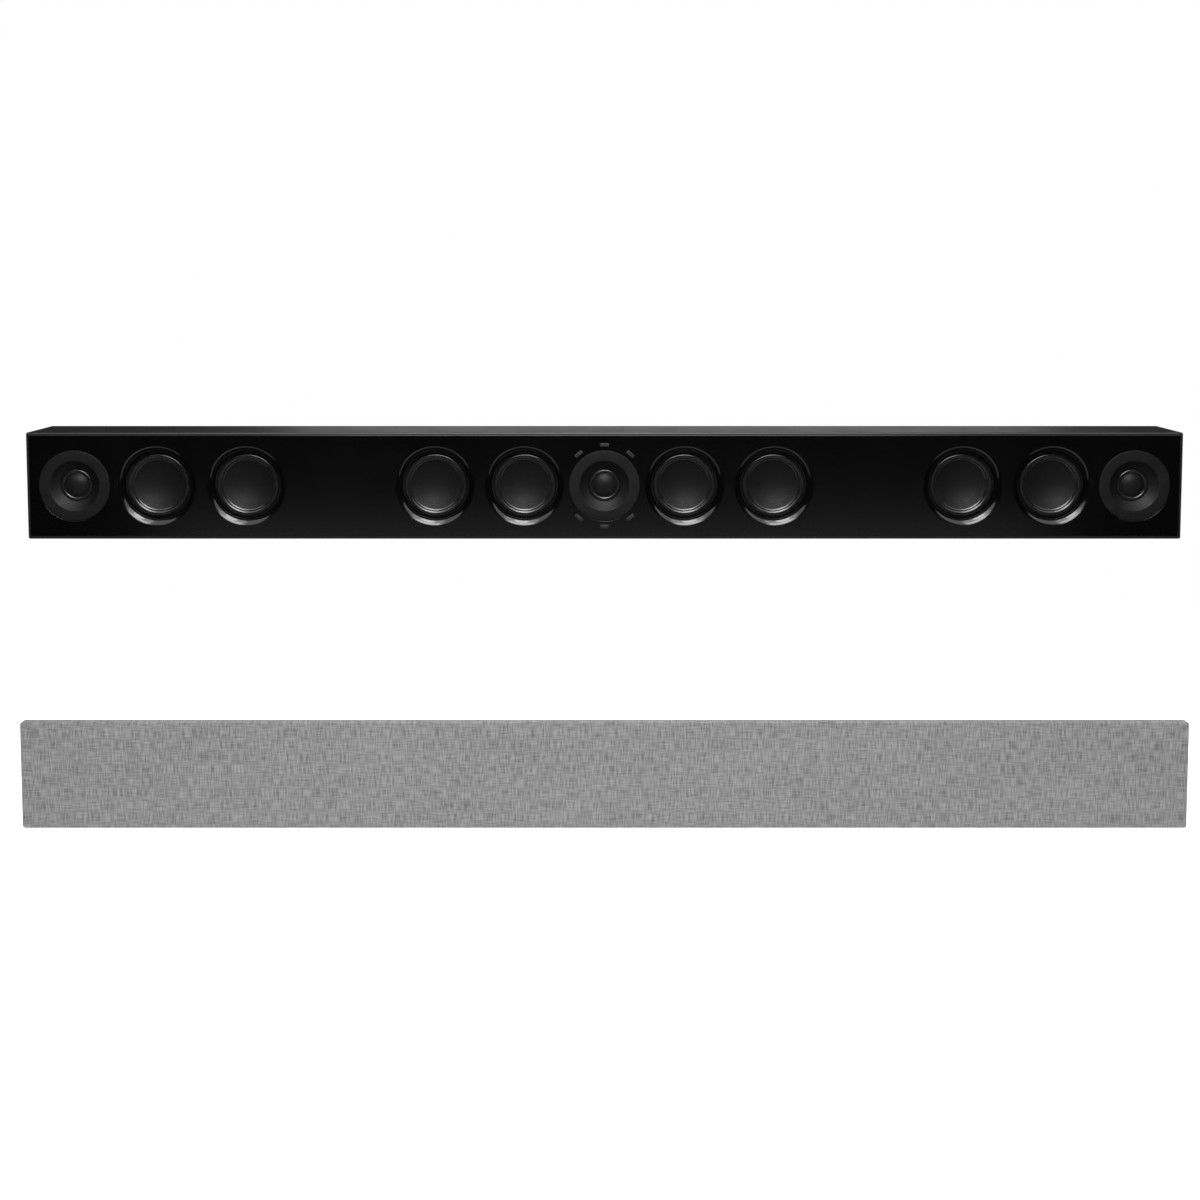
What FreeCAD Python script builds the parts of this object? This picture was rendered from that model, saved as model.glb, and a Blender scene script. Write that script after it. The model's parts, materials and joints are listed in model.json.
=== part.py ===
import FreeCAD, Part
import math
import os
import Sketcher

# Passive three-channel soundbar for a wall. X runs along the bar, the front faces -Y, and +Z is up.
# The origin is the middle of the back face. Depths below are measured from the front face backwards.

CELLS = {
    # outline of the bar, and the walls of its enclosure
    "half_length": 615,
    "half_height": 57,
    "bar_depth": 86,
    "wall": 3,
    "rear_wall": 4,
    "cap_thick": 3,
    "edge_round": 2,
    "baffle_thick": 12,
    "rib_height": 4,
    "rib_thick": 2,
    "boss_radius": 3.6,
    "boss_inset": 3.2,
    "boss_front_depth": 18,
    "cap_pilot": 1.25,
    "cap_screw_head": 3,
    "cap_screw_cone": 1.75,
    "cap_screw_spare": 1,
    "cap_screw_length": 12,
    "divider_place": 281,
    "divider_half": 4.5,
    "divider_notch": 8,
    "divider_front_notch": 12,
    "lead_hole": 4,
    "felt_thick": 6,
    "felt_gap": 0.5,
    "felt_end_gap": 2,
    "felt_front": 24,
    "felt_rear": 13,
    # where the drivers stand along the bar
    "tweeter_place": 564.4,
    "woofer_outer": 477.2,
    "woofer_second": 381.7,
    "woofer_third": 180.6,
    "woofer_inner": 85.3,
    # woofer
    "mouth_radius": 42.2,
    "throat_radius": 35.1,
    "flare_depth": 10,
    "flare_round": 10.6,
    "basket_radius": 46,
    "basket_inner": 33.8,
    "flange_thick": 3,
    "basket_wall_front": 39.8,
    "basket_wall_rear": 31.5,
    "basket_skin": 1.5,
    "shelf_depth": 27.5,
    "shelf_inner": 27,
    "shelf_thick": 1.5,
    "plate_depth": 35,
    "pan_floor": 1.5,
    "pan_hole": 14.5,
    "window_half": 11,
    "window_front": 18,
    "window_rear": 26,
    "cone_radius": 27.7,
    "cone_rim_depth": 11.2,
    "cone_dish": 9,
    "cone_skin": 0.8,
    "former_outer": 12.9,
    "former_inner": 12.3,
    "former_end": 41,
    "roll_inner": 28,
    "roll_outer": 34.1,
    "roll_round": 3.15,
    "roll_skin": 0.5,
    "lip_thick": 0.6,
    "lip_outer": 34.9,
    "spider_front": 26.9,
    "spider_gap": 0.3,
    "motor_radius": 30,
    "gap_outer": 13.3,
    "top_plate_thick": 4,
    "magnet_thick": 10,
    "magnet_inner": 15.5,
    "pole_radius": 11.9,
    "yoke_thick": 4,
    "woofer_screw_circle": 43.1,
    "screw_radius": 1.5,
    "screw_head": 2.6,
    "screw_head_thick": 1.8,
    "screw_bite": 7,
    # tweeter
    "plate_radius": 37.9,
    "plate_gap": 0.2,
    "plate_thick": 4,
    "guide_radius": 26.6,
    "guide_inner": 18.8,
    "guide_depth": 8,
    "ledge_depth": 9,
    "back_radius": 30,
    "back_depth": 12,
    "throat_hole": 13.4,
    "dome_radius": 12.7,
    "dome_rim_depth": 9.4,
    "dome_rise": 4.4,
    "dome_skin": 0.3,
    "coil_outer": 12.6,
    "coil_inner": 12.2,
    "coil_end": 17,
    "tweeter_roll_inner": 13,
    "tweeter_roll_outer": 17,
    "tweeter_roll_round": 2.1,
    "tweeter_motor": 28,
    "tweeter_plate": 4,
    "tweeter_gap_outer": 13.1,
    "tweeter_magnet": 8,
    "tweeter_magnet_inner": 15,
    "tweeter_pole": 11.7,
    "tweeter_yoke": 4,
    "tweeter_screw_circle": 34,
    "tweeter_screw_bite": 2,
    # index marks round the middle tweeter
    "mark_circle": 43.7,
    "mark_length": 9.5,
    "mark_width": 3.8,
    "mark_rise": 0.6,
    # grille
    "grille_thick": 12,
    "grille_gap": 0.3,
    "cloth_thick": 0.8,
    "hem_width": 9,
    "grille_border": 10.5,
    "grille_rib": 10,
    "grille_corner": 3,
    "grille_drop": 302,
    "grille_forward": 30,
    "magnet_disc_radius": 3,
    "magnet_disc_thick": 3,
    "magnet_skin": 2,
    "magnet_high": 50.5,
    "magnet_end": 608.2,
    # terminals
    "recess_half": 64,
    "recess_high": 28,
    "recess_depth": 2,
    "gasket_thick": 0.5,
    "cup_half": 57,
    "cup_high": 22,
    "cup_wall": 1.8,
    "cup_depth": 26,
    "cup_floor": 2,
    "cup_corner": 6,
    "terminal_pitch": 18,
    "guide_boss_inner": 6.35,
    "guide_boss_outer": 7.6,
    "guide_boss_front": 14,
    "push_radius": 6,
    "push_front": 4,
    "push_end": 17,
    "push_bore": 2.35,
    "push_hollow": 5.2,
    "push_hollow_front": 12,
    "push_round": 1,
    "spring_outer": 4.8,
    "spring_inner": 3.2,
    "post_radius": 2,
    "post_front": 3.6,
    "post_end": 31,
    "wire_hole": 0.9,
    "wire_hole_depth": 6.5,
    "cup_screw_x": 60.5,
    "cup_screw_z": 22,
    "cup_screw_length": 7,
    # wall fixings
    "keyhole_place": 530,
    "keyhole_plate_half": 34,
    "keyhole_plate_high": 22,
    "keyhole_plate_thick": 2,
    "keyhole_window_half": 14,
    "keyhole_window_high": 17,
    "keyhole_entry": 5.5,
    "keyhole_slot": 2.75,
    "keyhole_reach": 8,
    "keyhole_screw_x": 26,
    "keyhole_screw_z": 15,
    "pad_radius": 9,
    "pad_thick": 2,
    "pad_x": 590,
    "pad_z": 36,
    "countersunk_head": 2.4,
    "countersunk_depth": 1.2,
    "countersunk_shank": 1.2,
    "insert_x": 250,
    "insert_z": 30,
    "insert_bore": 2.5,
    "insert_body": 3.6,
    "insert_head": 5.5,
    "insert_head_thick": 1,
    "insert_length": 14,
    # crossovers
    "side_board_place": 430,
    "trunk_back": 20,
    "trunk_down": 41,
    "middle_board_place": 133,
    "board_half": 52,
    "board_high": 34,
    "board_thick": 1.6,
    "standoff_length": 6,
    "standoff_radius": 3,
    "standoff_pin": 1.5,
    "standoff_head": 2.1,
    "standoff_x": 47,
    "standoff_z": 29,
    "choke_radius": 9,
    "choke_bore": 3,
    "choke_outer": 30,
    "choke_inner": 4,
    "choke_up": 14,
    "choke_length": 12,
    "choke_cheek": 1,
    "can_radius": 5.5,
    "can_start": 14,
    "can_low": 6,
    "can_high": 20,
    "can_length": 26,
    "resistor_size": 7,
    "resistor_start": 34,
    "resistor_down": 22,
    "resistor_length": 24,
    # wiring
    "lead_radius": 1.5,
}

doc = FreeCAD.newDocument("soundbar")
sheet = doc.addObject("Spreadsheet::Sheet", "sizes")
for row, (alias, number) in enumerate(CELLS.items(), start=1):
    sheet.set(f"A{row}", alias)
    sheet.set(f"B{row}", str(number))
    sheet.setAlias(f"B{row}", alias)
doc.recompute()

FRONT = "0 - bar_depth"
WOOFERS = [
    "0 - woofer_outer",
    "0 - woofer_second",
    "0 - woofer_third",
    "0 - woofer_inner",
    "woofer_inner",
    "woofer_third",
    "woofer_second",
    "woofer_outer",
]
TWEETERS = {"left": "0 - tweeter_place", "centre": "0", "right": "tweeter_place"}
MARK_ANGLES = (51, 90, 129, 231, 270, 309)
BOSS_PLACES = [
    (depth, side)
    for depth in ("bar_depth - rear_wall - boss_inset", "boss_front_depth")
    for side in ("half_height - wall - boss_inset", "0 - half_height + wall + boss_inset")
]
X_AXIS = FreeCAD.Vector(1, 0, 0)
Y_AXIS = FreeCAD.Vector(0, 1, 0)
Z_AXIS = FreeCAD.Vector(0, 0, 1)
TOWARDS_BACK = FreeCAD.Rotation(X_AXIS, -90)
ALONG_X = FreeCAD.Rotation(Y_AXIS, 90)
HALF_TURN = FreeCAD.Rotation(Z_AXIS, 180)
nodes = []


# ---- sizes from the sheet ----

def value(text):
    """The number that a sum of cells and numbers, such as "wall + 2", stands for."""
    total = 0.0
    sign = 1
    for word in text.split():
        if word in "+-":
            sign = 1 if word == "+" else -1
        elif word[0].isdigit():
            total += sign * float(word)
        else:
            total += sign * float(sheet.get(word))
    return total


def minus(text):
    """The same sum with every sign turned round."""
    return "0 - " + text.translate(str.maketrans("+-", "-+"))


def formula(text):
    """The same sum, written as an expression that binds a property to the sheet."""
    words = [word if word in "+-" or word[0].isdigit() else "sizes." + word for word in text.split()]
    return " ".join(words)


def bind(thing, **sums):
    """Bind properties of an object to sums of cells."""
    for name, text in sums.items():
        thing.setExpression(name, formula(text))


def place(thing, where, turn=None):
    """Stand an object at a point given as three sums, turned by an optional rotation."""
    if turn:
        thing.Placement = FreeCAD.Placement(FreeCAD.Vector(), turn)
    for axis, text in zip("xyz", where):
        thing.setExpression("Placement.Base." + axis, formula(text))
    return thing


def node(label, thing):
    """Mark an object as a sub-part that is written to its own file."""
    thing.Label = label
    nodes.append(thing)
    return thing


# ---- shapes ----

def arc_centre(start, end, radius, side):
    """Centre of an arc: on the turning axis, or at a radius from both ends on the given side."""
    if radius == "axis":
        height = (end.Length ** 2 - start.Length ** 2) / (2 * (end.y - start.y))
        return FreeCAD.Vector(0, height, 0)
    half = (end - start) * 0.5
    rise = math.sqrt(value(radius) ** 2 - half.Length ** 2)
    left = FreeCAD.Vector(-half.y, half.x, 0).normalize()
    return start + half + left * rise * side


def arc_between(start, end, radius, side):
    """The short arc from start to end; side 1 keeps its centre on the left, -1 on the right."""
    centre = arc_centre(start, end, radius, side)
    first, last = (start, end) if side == 1 else (end, start)
    angles = [math.atan2(point.y - centre.y, point.x - centre.x) for point in (first, last)]
    circle = Part.Circle(centre, FreeCAD.Vector(0, 0, 1), (start - centre).Length)
    return Part.ArcOfCircle(circle, *angles)


def draw(sketch, corners):
    """Draw a closed outline through corners (across, up) or (across, up, arc radius, side).

    An arc radius of "axis" puts the arc's centre on the turning axis, which makes a sphere.
    """
    points = [FreeCAD.Vector(value(corner[0]), value(corner[1]), 0) for corner in corners]
    edges = []
    ends = []
    for index, corner in enumerate(corners):
        if len(corner) == 4:
            edges.append(arc_between(points[index - 1], points[index], corner[2], corner[3]))
            ends.append((1, 2) if corner[3] == 1 else (2, 1))
        else:
            edges.append(Part.LineSegment(points[index - 1], points[index]))
            ends.append((1, 2))
    sketch.addGeometry(edges, False)
    rules = []
    bound = []
    for index, corner in enumerate(corners):
        following = (index + 1) % len(corners)
        rules.append(Sketcher.Constraint("Coincident", index, ends[index][1], following, ends[following][0]))
        for kind, text, axis in (("DistanceX", corner[0], -2), ("DistanceY", corner[1], -1)):
            if value(text) == 0:
                rules.append(Sketcher.Constraint("PointOnObject", index, ends[index][1], axis))
            else:
                bound.append((len(rules), text))
                rules.append(Sketcher.Constraint(kind, -1, 1, index, ends[index][1], value(text)))
        if len(corner) == 4 and corner[2] == "axis":
            rules.append(Sketcher.Constraint("PointOnObject", index, 3, -2))
        elif len(corner) == 4:
            bound.append((len(rules), corner[2]))
            rules.append(Sketcher.Constraint("Radius", index, value(corner[2])))
    sketch.addConstraint(rules)
    for number, text in bound:
        sketch.setExpression(f"Constraints[{number}]", formula(text))


def body_with_sketch(name, corners, role):
    """A new body and a sketch of the corners on one of its origin planes."""
    body = doc.addObject("PartDesign::Body", name)
    plane = [part for part in body.Origin.OriginFeatures if part.Role == role][0]
    sketch = body.newObject("Sketcher::SketchObject", name + "_outline")
    sketch.AttachmentSupport = (plane, [""])
    sketch.MapMode = "FlatFace"
    draw(sketch, corners)
    return body, sketch


def turned(name, corners, where, turn=None):
    """A solid turned about its own Y axis from corners (radius, depth)."""
    body, sketch = body_with_sketch(name, corners, "XY_Plane")
    spin = body.newObject("PartDesign::Revolution", name + "_spin")
    spin.Profile = sketch
    spin.ReferenceAxis = (sketch, ["V_Axis"])
    spin.Angle = 360
    return place(body, where, turn)


def extruded(name, corners, length, where):
    """A solid of constant section along X from corners (depth, height)."""
    body, sketch = body_with_sketch(name, corners, "YZ_Plane")
    pad = body.newObject("PartDesign::Pad", name + "_pad")
    pad.Profile = sketch
    bind(pad, Length=length)
    return place(body, where)


def box(name, low, sides):
    """A box from its low corner and its three sides."""
    block = doc.addObject("Part::Box", name)
    bind(block, Length=sides[0], Width=sides[1], Height=sides[2])
    return place(block, low)


def slab(name, middle_x, front, middle_z, half_x, depth, half_z):
    """A box about a middle in X and Z, from a front Y backwards."""
    low = (f"{middle_x} + {minus(half_x)}", front, f"{middle_z} + {minus(half_z)}")
    return box(name, low, (f"{half_x} + {half_x}", depth, f"{half_z} + {half_z}"))


def rod(name, where, radius, length, turn=TOWARDS_BACK):
    """A cylinder that starts at a point and runs towards the back, or along X."""
    bar = doc.addObject("Part::Cylinder", name)
    bind(bar, Radius=radius, Height=length)
    return place(bar, where, turn)


def rounded(name, base, radius, chosen):
    """A fillet on the edges of the base that the chosen test accepts."""
    doc.recompute()
    fillet = doc.addObject("Part::Fillet", name)
    fillet.Base = base
    size = value(radius)
    numbers = [index for index, edge in enumerate(base.Shape.Edges, start=1) if chosen(edge)]
    fillet.Edges = [(index, size, size) for index in numbers]
    return fillet


def runs_along(axis):
    """A test for straight edges along one axis."""
    return lambda edge: abs(abs(edge.tangentAt(edge.FirstParameter).dot(axis)) - 1) < 1e-6


def group(name, parts):
    """Several separate solids as one sub-part."""
    bundle = doc.addObject("Part::Compound", name)
    bundle.Links = parts
    return bundle


def cut(name, base, tools):
    """The base with all the tools taken away."""
    result = doc.addObject("Part::Cut", name)
    result.Base = base
    result.Tool = tools[0] if len(tools) == 1 else group(name + "_tools", tools)
    return result


def fused(name, parts):
    """Several touching solids joined into one."""
    result = doc.addObject("Part::MultiFuse", name)
    result.Shapes = parts
    result.Refine = True
    return result


def corners_of(half_a, half_b):
    """The four signed corner places of a rectangle of fixings."""
    return [(a, b) for a in ("0 - " + half_a, half_a) for b in ("0 - " + half_b, half_b)]


def circle_points(count, first_angle, middle, circle):
    """Points of a ring of fixings about a driver's axis, as (x, z) sums."""
    points = []
    for step in range(count):
        angle = math.radians(first_angle + 360 / count * step)
        across = value(circle) * math.cos(angle)
        up = value(circle) * math.sin(angle)
        x_sum = f"{middle} + {across:.4f}" if across >= 0 else f"{middle} - {-across:.4f}"
        z_sum = f"{up:.4f}" if up >= 0 else f"0 - {-up:.4f}"
        points.append((x_sum, z_sum))
    return points


# ---- enclosure ----

def sleeve_section():
    """Section of the extrusion: open at the front, with a rib that the baffle rests on."""
    top = "half_height + half_height"
    under_top = top + " - wall"
    rib_end = "baffle_thick + rib_thick"
    back = "bar_depth - rear_wall"
    return [
        ("0", "0"),
        ("bar_depth", "0"),
        ("bar_depth", top),
        ("0", top),
        ("0", under_top),
        ("baffle_thick", under_top),
        ("baffle_thick", under_top + " - rib_height"),
        (rib_end, under_top + " - rib_height"),
        (rib_end, under_top),
        (back, under_top),
        (back, "wall"),
        (rib_end, "wall"),
        (rib_end, "wall + rib_height"),
        ("baffle_thick", "wall + rib_height"),
        ("baffle_thick", "wall"),
        ("0", "wall"),
    ]


def make_sleeve(openings):
    """The extruded sleeve with its four screw channels and the openings of its back."""
    length = "half_length + half_length - cap_thick - cap_thick"
    start = "0 - half_length + cap_thick"
    shell = extruded("sleeve_shell", sleeve_section(), length, (start, FRONT, "0 - half_height"))
    outer_edges = runs_along(X_AXIS)
    height = value("half_height")

    def is_outer(edge):
        point = edge.CenterOfMass
        on_corner = abs(abs(point.z) - height) < 0.1
        return outer_edges(edge) and on_corner and (point.y > -1 or point.y < value(FRONT) + 1)

    soft_shell = rounded("sleeve_soft", shell, "edge_round", is_outer)
    bosses = []
    for number, (depth, up) in enumerate(BOSS_PLACES, start=1):
        where = (start, FRONT + " + " + depth, up)
        bosses.append(rod(f"sleeve_boss_{number}", where, "boss_radius", length, ALONG_X))
    walls = fused("sleeve_walls", [soft_shell] + bosses)
    pilots = []
    for number, (depth, up) in enumerate(BOSS_PLACES, start=1):
        for side, from_x in (("left", start), ("right", "half_length - cap_thick - cap_screw_length")):
            where = (from_x, FRONT + " + " + depth, up)
            name = f"sleeve_pilot_{side}_{number}"
            pilots.append(rod(name, where, "cap_pilot", "cap_screw_length", ALONG_X))
    node("enclosure_sleeve", cut("sleeve", walls, pilots + openings))


def cap_screw(name, side, depth, up):
    """A countersunk screw along X through an end cap."""
    outline = [
        ("0", "0"),
        ("cap_screw_head", "0"),
        ("cap_pilot", "cap_screw_cone"),
        ("cap_pilot", "cap_thick + cap_screw_length - cap_screw_spare"),
        ("0", "cap_thick + cap_screw_length - cap_screw_spare"),
    ]
    quarter = 90 if side == "right" else -90
    end = "half_length" if side == "right" else "0 - half_length"
    inward = FreeCAD.Rotation(Z_AXIS, quarter)
    return turned(name, outline, (end, FRONT + " + " + depth, up), inward)


def make_end_caps():
    """A flat cap with softened edges over each end, held by four countersunk screws."""
    all_screws = []
    inner_x = {"left": "0 - half_length + cap_thick", "right": "half_length - cap_thick"}
    for side, low_x in (("left", "0 - half_length"), ("right", "half_length - cap_thick")):
        sides = ("cap_thick", "bar_depth", "half_height + half_height")
        blank = box(f"cap_{side}_blank", (low_x, FRONT, "0 - half_height"), sides)
        joint_x = value(inner_x[side])
        away_from_sleeve = lambda edge: abs(edge.CenterOfMass.x - joint_x) > 0.1
        soft = rounded(f"cap_{side}_soft", blank, "edge_round", away_from_sleeve)
        screws = []
        for number, (depth, up) in enumerate(BOSS_PLACES, start=1):
            screws.append(cap_screw(f"cap_{side}_screw_{number}", side, depth, up))
        node(f"end_cap_{side}", cut(f"cap_{side}", soft, screws))
        all_screws += screws
    node("end_cap_screws", group("cap_screws", all_screws))


def make_dividers():
    """Two walls that part the three chambers, notched round the ribs and screw channels."""
    top = "half_height + half_height - wall"
    back = "bar_depth - rear_wall"
    front = "baffle_thick"
    notch = "divider_notch"
    front_notch = "baffle_thick + divider_front_notch"
    section = [
        (front, "wall + " + notch),
        (front_notch, "wall + " + notch),
        (front_notch, "wall"),
        (back + " - " + notch, "wall"),
        (back + " - " + notch, "wall + " + notch),
        (back, "wall + " + notch),
        (back, top + " - " + notch),
        (back + " - " + notch, top + " - " + notch),
        (back + " - " + notch, top),
        (front_notch, top),
        (front_notch, top + " - " + notch),
        (front, top + " - " + notch),
    ]
    walls = []
    for side, middle in (("left", "0 - divider_place"), ("right", "divider_place")):
        where = (middle + " - divider_half", FRONT, "0 - half_height")
        wall = extruded(f"divider_{side}", section, "divider_half + divider_half", where)
        hole_start = (middle + " - divider_half", "0 - trunk_back", "0 - trunk_down")
        through = "divider_half + divider_half"
        hole = rod(f"divider_{side}_hole", hole_start, "lead_hole", through, ALONG_X)
        walls.append(cut(f"divider_{side}_cut", wall, [hole]))
    node("dividers", group("divider_pair", walls))


def make_felt():
    """Damping felt under the top and over the floor of each chamber."""
    gaps = " - felt_end_gap - felt_end_gap"
    inner = "divider_place - divider_half"
    side_length = "half_length - cap_thick - divider_place - divider_half" + gaps
    chambers = {
        "left": ("0 - half_length + cap_thick + felt_end_gap", side_length),
        "centre": ("0 - divider_place + divider_half + felt_end_gap", inner + " + " + inner + gaps),
        "right": ("divider_place + divider_half + felt_end_gap", side_length),
    }
    deep = "bar_depth - felt_front - felt_rear"
    sheets = []
    for chamber, (low_x, length) in chambers.items():
        floor_z = "0 - half_height + wall + felt_gap"
        roof_z = "half_height - wall - felt_gap - felt_thick"
        for level, low_z in (("floor", floor_z), ("roof", roof_z)):
            low = (low_x, FRONT + " + felt_front", low_z)
            sheets.append(box(f"felt_{chamber}_{level}", low, (length, deep, "felt_thick")))
    node("damping_felt", group("felt", sheets))


# ---- baffle ----

def flare_tool(name, middle):
    """The space of a woofer opening: a mouth that curves in to a straight throat."""
    outline = [
        ("0", "0"),
        ("mouth_radius", "0"),
        ("mouth_radius", "1"),
        ("throat_radius", "flare_depth + 1", "flare_round", 1),
        ("throat_radius", "baffle_thick + 2"),
        ("0", "baffle_thick + 2"),
    ]
    return turned(name, outline, (middle, FRONT + " - 1", "0"))


def tweeter_tool(name, middle):
    """The stepped recess that takes a tweeter from the front."""
    outline = [
        ("0", "0"),
        ("plate_radius + plate_gap", "0"),
        ("plate_radius + plate_gap", "plate_thick + 1"),
        ("back_radius + plate_gap", "plate_thick + 1"),
        ("back_radius + plate_gap", "baffle_thick + 2"),
        ("0", "baffle_thick + 2"),
    ]
    return turned(name, outline, (middle, FRONT + " - 1", "0"))


def woofer_screw_places(middle):
    return circle_points(4, 45, middle, "woofer_screw_circle")


def tweeter_screw_places(middle):
    return circle_points(3, 90, middle, "tweeter_screw_circle")


def magnet_places():
    """The eight places where grille magnets face the ones in the baffle."""
    ends = corners_of("magnet_end", "magnet_high")
    return ends + corners_of("divider_place", "magnet_high")


def make_baffle():
    """The front panel with its driver openings, blind screw holes and magnet pockets."""
    inner_x = "half_length - cap_thick"
    inner_z = "half_height - wall"
    panel = slab("baffle_panel", "0", FRONT, "0", inner_x, "baffle_thick", inner_z)
    tools = []
    for number, middle in enumerate(WOOFERS, start=1):
        tools.append(flare_tool(f"flare_{number}", middle))
        for spot, (x, z) in enumerate(woofer_screw_places(middle), start=1):
            where = (x, FRONT + " + baffle_thick - screw_bite", z)
            tools.append(rod(f"woofer_hole_{number}_{spot}", where, "screw_radius", "screw_bite"))
    for side, middle in TWEETERS.items():
        tools.append(tweeter_tool(f"tweeter_recess_{side}", middle))
        for spot, (x, z) in enumerate(tweeter_screw_places(middle), start=1):
            where = (x, FRONT + " + plate_thick", z)
            length = "baffle_thick - plate_thick"
            tools.append(rod(f"tweeter_hole_{side}_{spot}", where, "screw_radius", length))
    discs = []
    for number, (x, z) in enumerate(magnet_places(), start=1):
        where = (x, FRONT + " + magnet_skin", z)
        depth = "baffle_thick - magnet_skin"
        tools.append(rod(f"magnet_pocket_{number}", where, "magnet_disc_radius", depth))
        discs.append(rod(f"baffle_disc_{number}", where, "magnet_disc_radius", "magnet_disc_thick"))
    node("front_baffle", cut("baffle", panel, tools))
    node("baffle_magnets", group("baffle_discs", discs))


def make_index_marks():
    """Six short raised bars round the middle tweeter, three above it and three below."""
    marks = []
    for number, angle in enumerate(MARK_ANGLES, start=1):
        blank = doc.addObject("Part::Box", f"mark_{number}_blank")
        bind(blank, Length="mark_length", Width="mark_rise", Height="mark_width")
        centre = FreeCAD.Vector(value("mark_length"), 0, value("mark_width")) * -0.5
        spin = FreeCAD.Rotation(Y_AXIS, 90 - angle)
        reach = FreeCAD.Vector(0, value(FRONT + " - mark_rise"), value("mark_circle"))
        blank.Placement = FreeCAD.Placement(spin.multVec(reach + centre), spin)
        marks.append(blank)
    node("centre_index_marks", group("index_marks", marks))


# ---- woofers ----

def basket(name, middle):
    """A cast basket: flange, sloping wall with four windows, spider shelf and a pan for the motor."""
    outline = [
        ("basket_inner", "baffle_thick"),
        ("basket_radius", "baffle_thick"),
        ("basket_radius", "baffle_thick + flange_thick"),
        ("basket_wall_front", "baffle_thick + flange_thick"),
        ("basket_wall_rear", "shelf_depth + shelf_thick"),
        ("basket_wall_rear", "plate_depth"),
        ("pan_hole", "plate_depth"),
        ("pan_hole", "plate_depth - pan_floor"),
        ("basket_wall_rear - basket_skin", "plate_depth - pan_floor"),
        ("basket_wall_rear - basket_skin", "shelf_depth + shelf_thick"),
        ("shelf_inner", "shelf_depth + shelf_thick"),
        ("shelf_inner", "shelf_depth"),
        ("basket_wall_rear - basket_skin", "shelf_depth"),
        ("basket_wall_front - basket_skin", "baffle_thick + flange_thick"),
        ("basket_inner", "baffle_thick + flange_thick"),
    ]
    solid = turned(name + "_cast", outline, (middle, FRONT, "0"))
    windows = []
    deep = "window_rear - window_front"
    front = FRONT + " + window_front"
    windows.append(slab(name + "_window_x", middle, front, "0", "basket_radius", deep, "window_half"))
    windows.append(slab(name + "_window_z", middle, front, "0", "window_half", deep, "basket_radius"))
    holes = []
    for spot, (x, z) in enumerate(woofer_screw_places(middle), start=1):
        where = (x, FRONT + " + baffle_thick", z)
        holes.append(rod(f"{name}_hole_{spot}", where, "screw_radius", "flange_thick"))
    return cut(name, solid, windows + holes)


def cone(name, middle):
    """A dished one-piece cone with its voice coil former."""
    rim = "cone_rim_depth"
    bottom = "cone_rim_depth + cone_dish"
    outline = [
        ("cone_radius", rim, "axis", -1),
        ("cone_radius", rim + " + cone_skin"),
        ("former_outer", bottom + " - cone_skin", "axis", 1),
        ("former_outer", "former_end"),
        ("former_inner", "former_end"),
        ("former_inner", bottom + " - cone_skin"),
        ("0", bottom + " + cone_skin", "axis", 1),
        ("0", bottom),
    ]
    return turned(name, outline, (middle, FRONT, "0"))


def woofer_surround(name, middle):
    """A rubber half roll between the cone's rim and the basket, with a flat lip outside."""
    base = "baffle_thick - lip_thick"
    outline = [
        ("roll_inner", base),
        ("roll_outer", base, "roll_round", 1),
        ("lip_outer", base),
        ("lip_outer", "baffle_thick"),
        ("roll_outer - roll_skin", "baffle_thick"),
        ("roll_outer - roll_skin", base),
        ("roll_inner + roll_skin", base, "roll_round - roll_skin", -1),
    ]
    return turned(name, outline, (middle, FRONT, "0"))


def ring(name, middle, inner, outer, front, thick):
    """A flat ring about a driver's axis."""
    outline = [
        (inner, front),
        (outer, front),
        (outer, f"{front} + {thick}"),
        (inner, f"{front} + {thick}"),
    ]
    return turned(name, outline, (middle, FRONT, "0"))


def yoke(name, middle, pole, pole_front, plate_front, plate_outer, plate_thick):
    """A T-yoke: a round back plate with the pole piece in its middle."""
    outline = [
        ("0", pole_front),
        (pole, pole_front),
        (pole, plate_front),
        (plate_outer, plate_front),
        (plate_outer, f"{plate_front} + {plate_thick}"),
        ("0", f"{plate_front} + {plate_thick}"),
    ]
    return turned(name, outline, (middle, FRONT, "0"))


def driver_screw(name, x, z, head_front, bite):
    """A pan-head screw driven forwards from inside the enclosure."""
    shank = rod(name + "_shank", (x, f"{FRONT} + {head_front} + {minus(bite)}", z), "screw_radius", bite)
    head = rod(name + "_head", (x, f"{FRONT} + {head_front}", z), "screw_head", "screw_head_thick")
    return fused(name, [shank, head])


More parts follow.
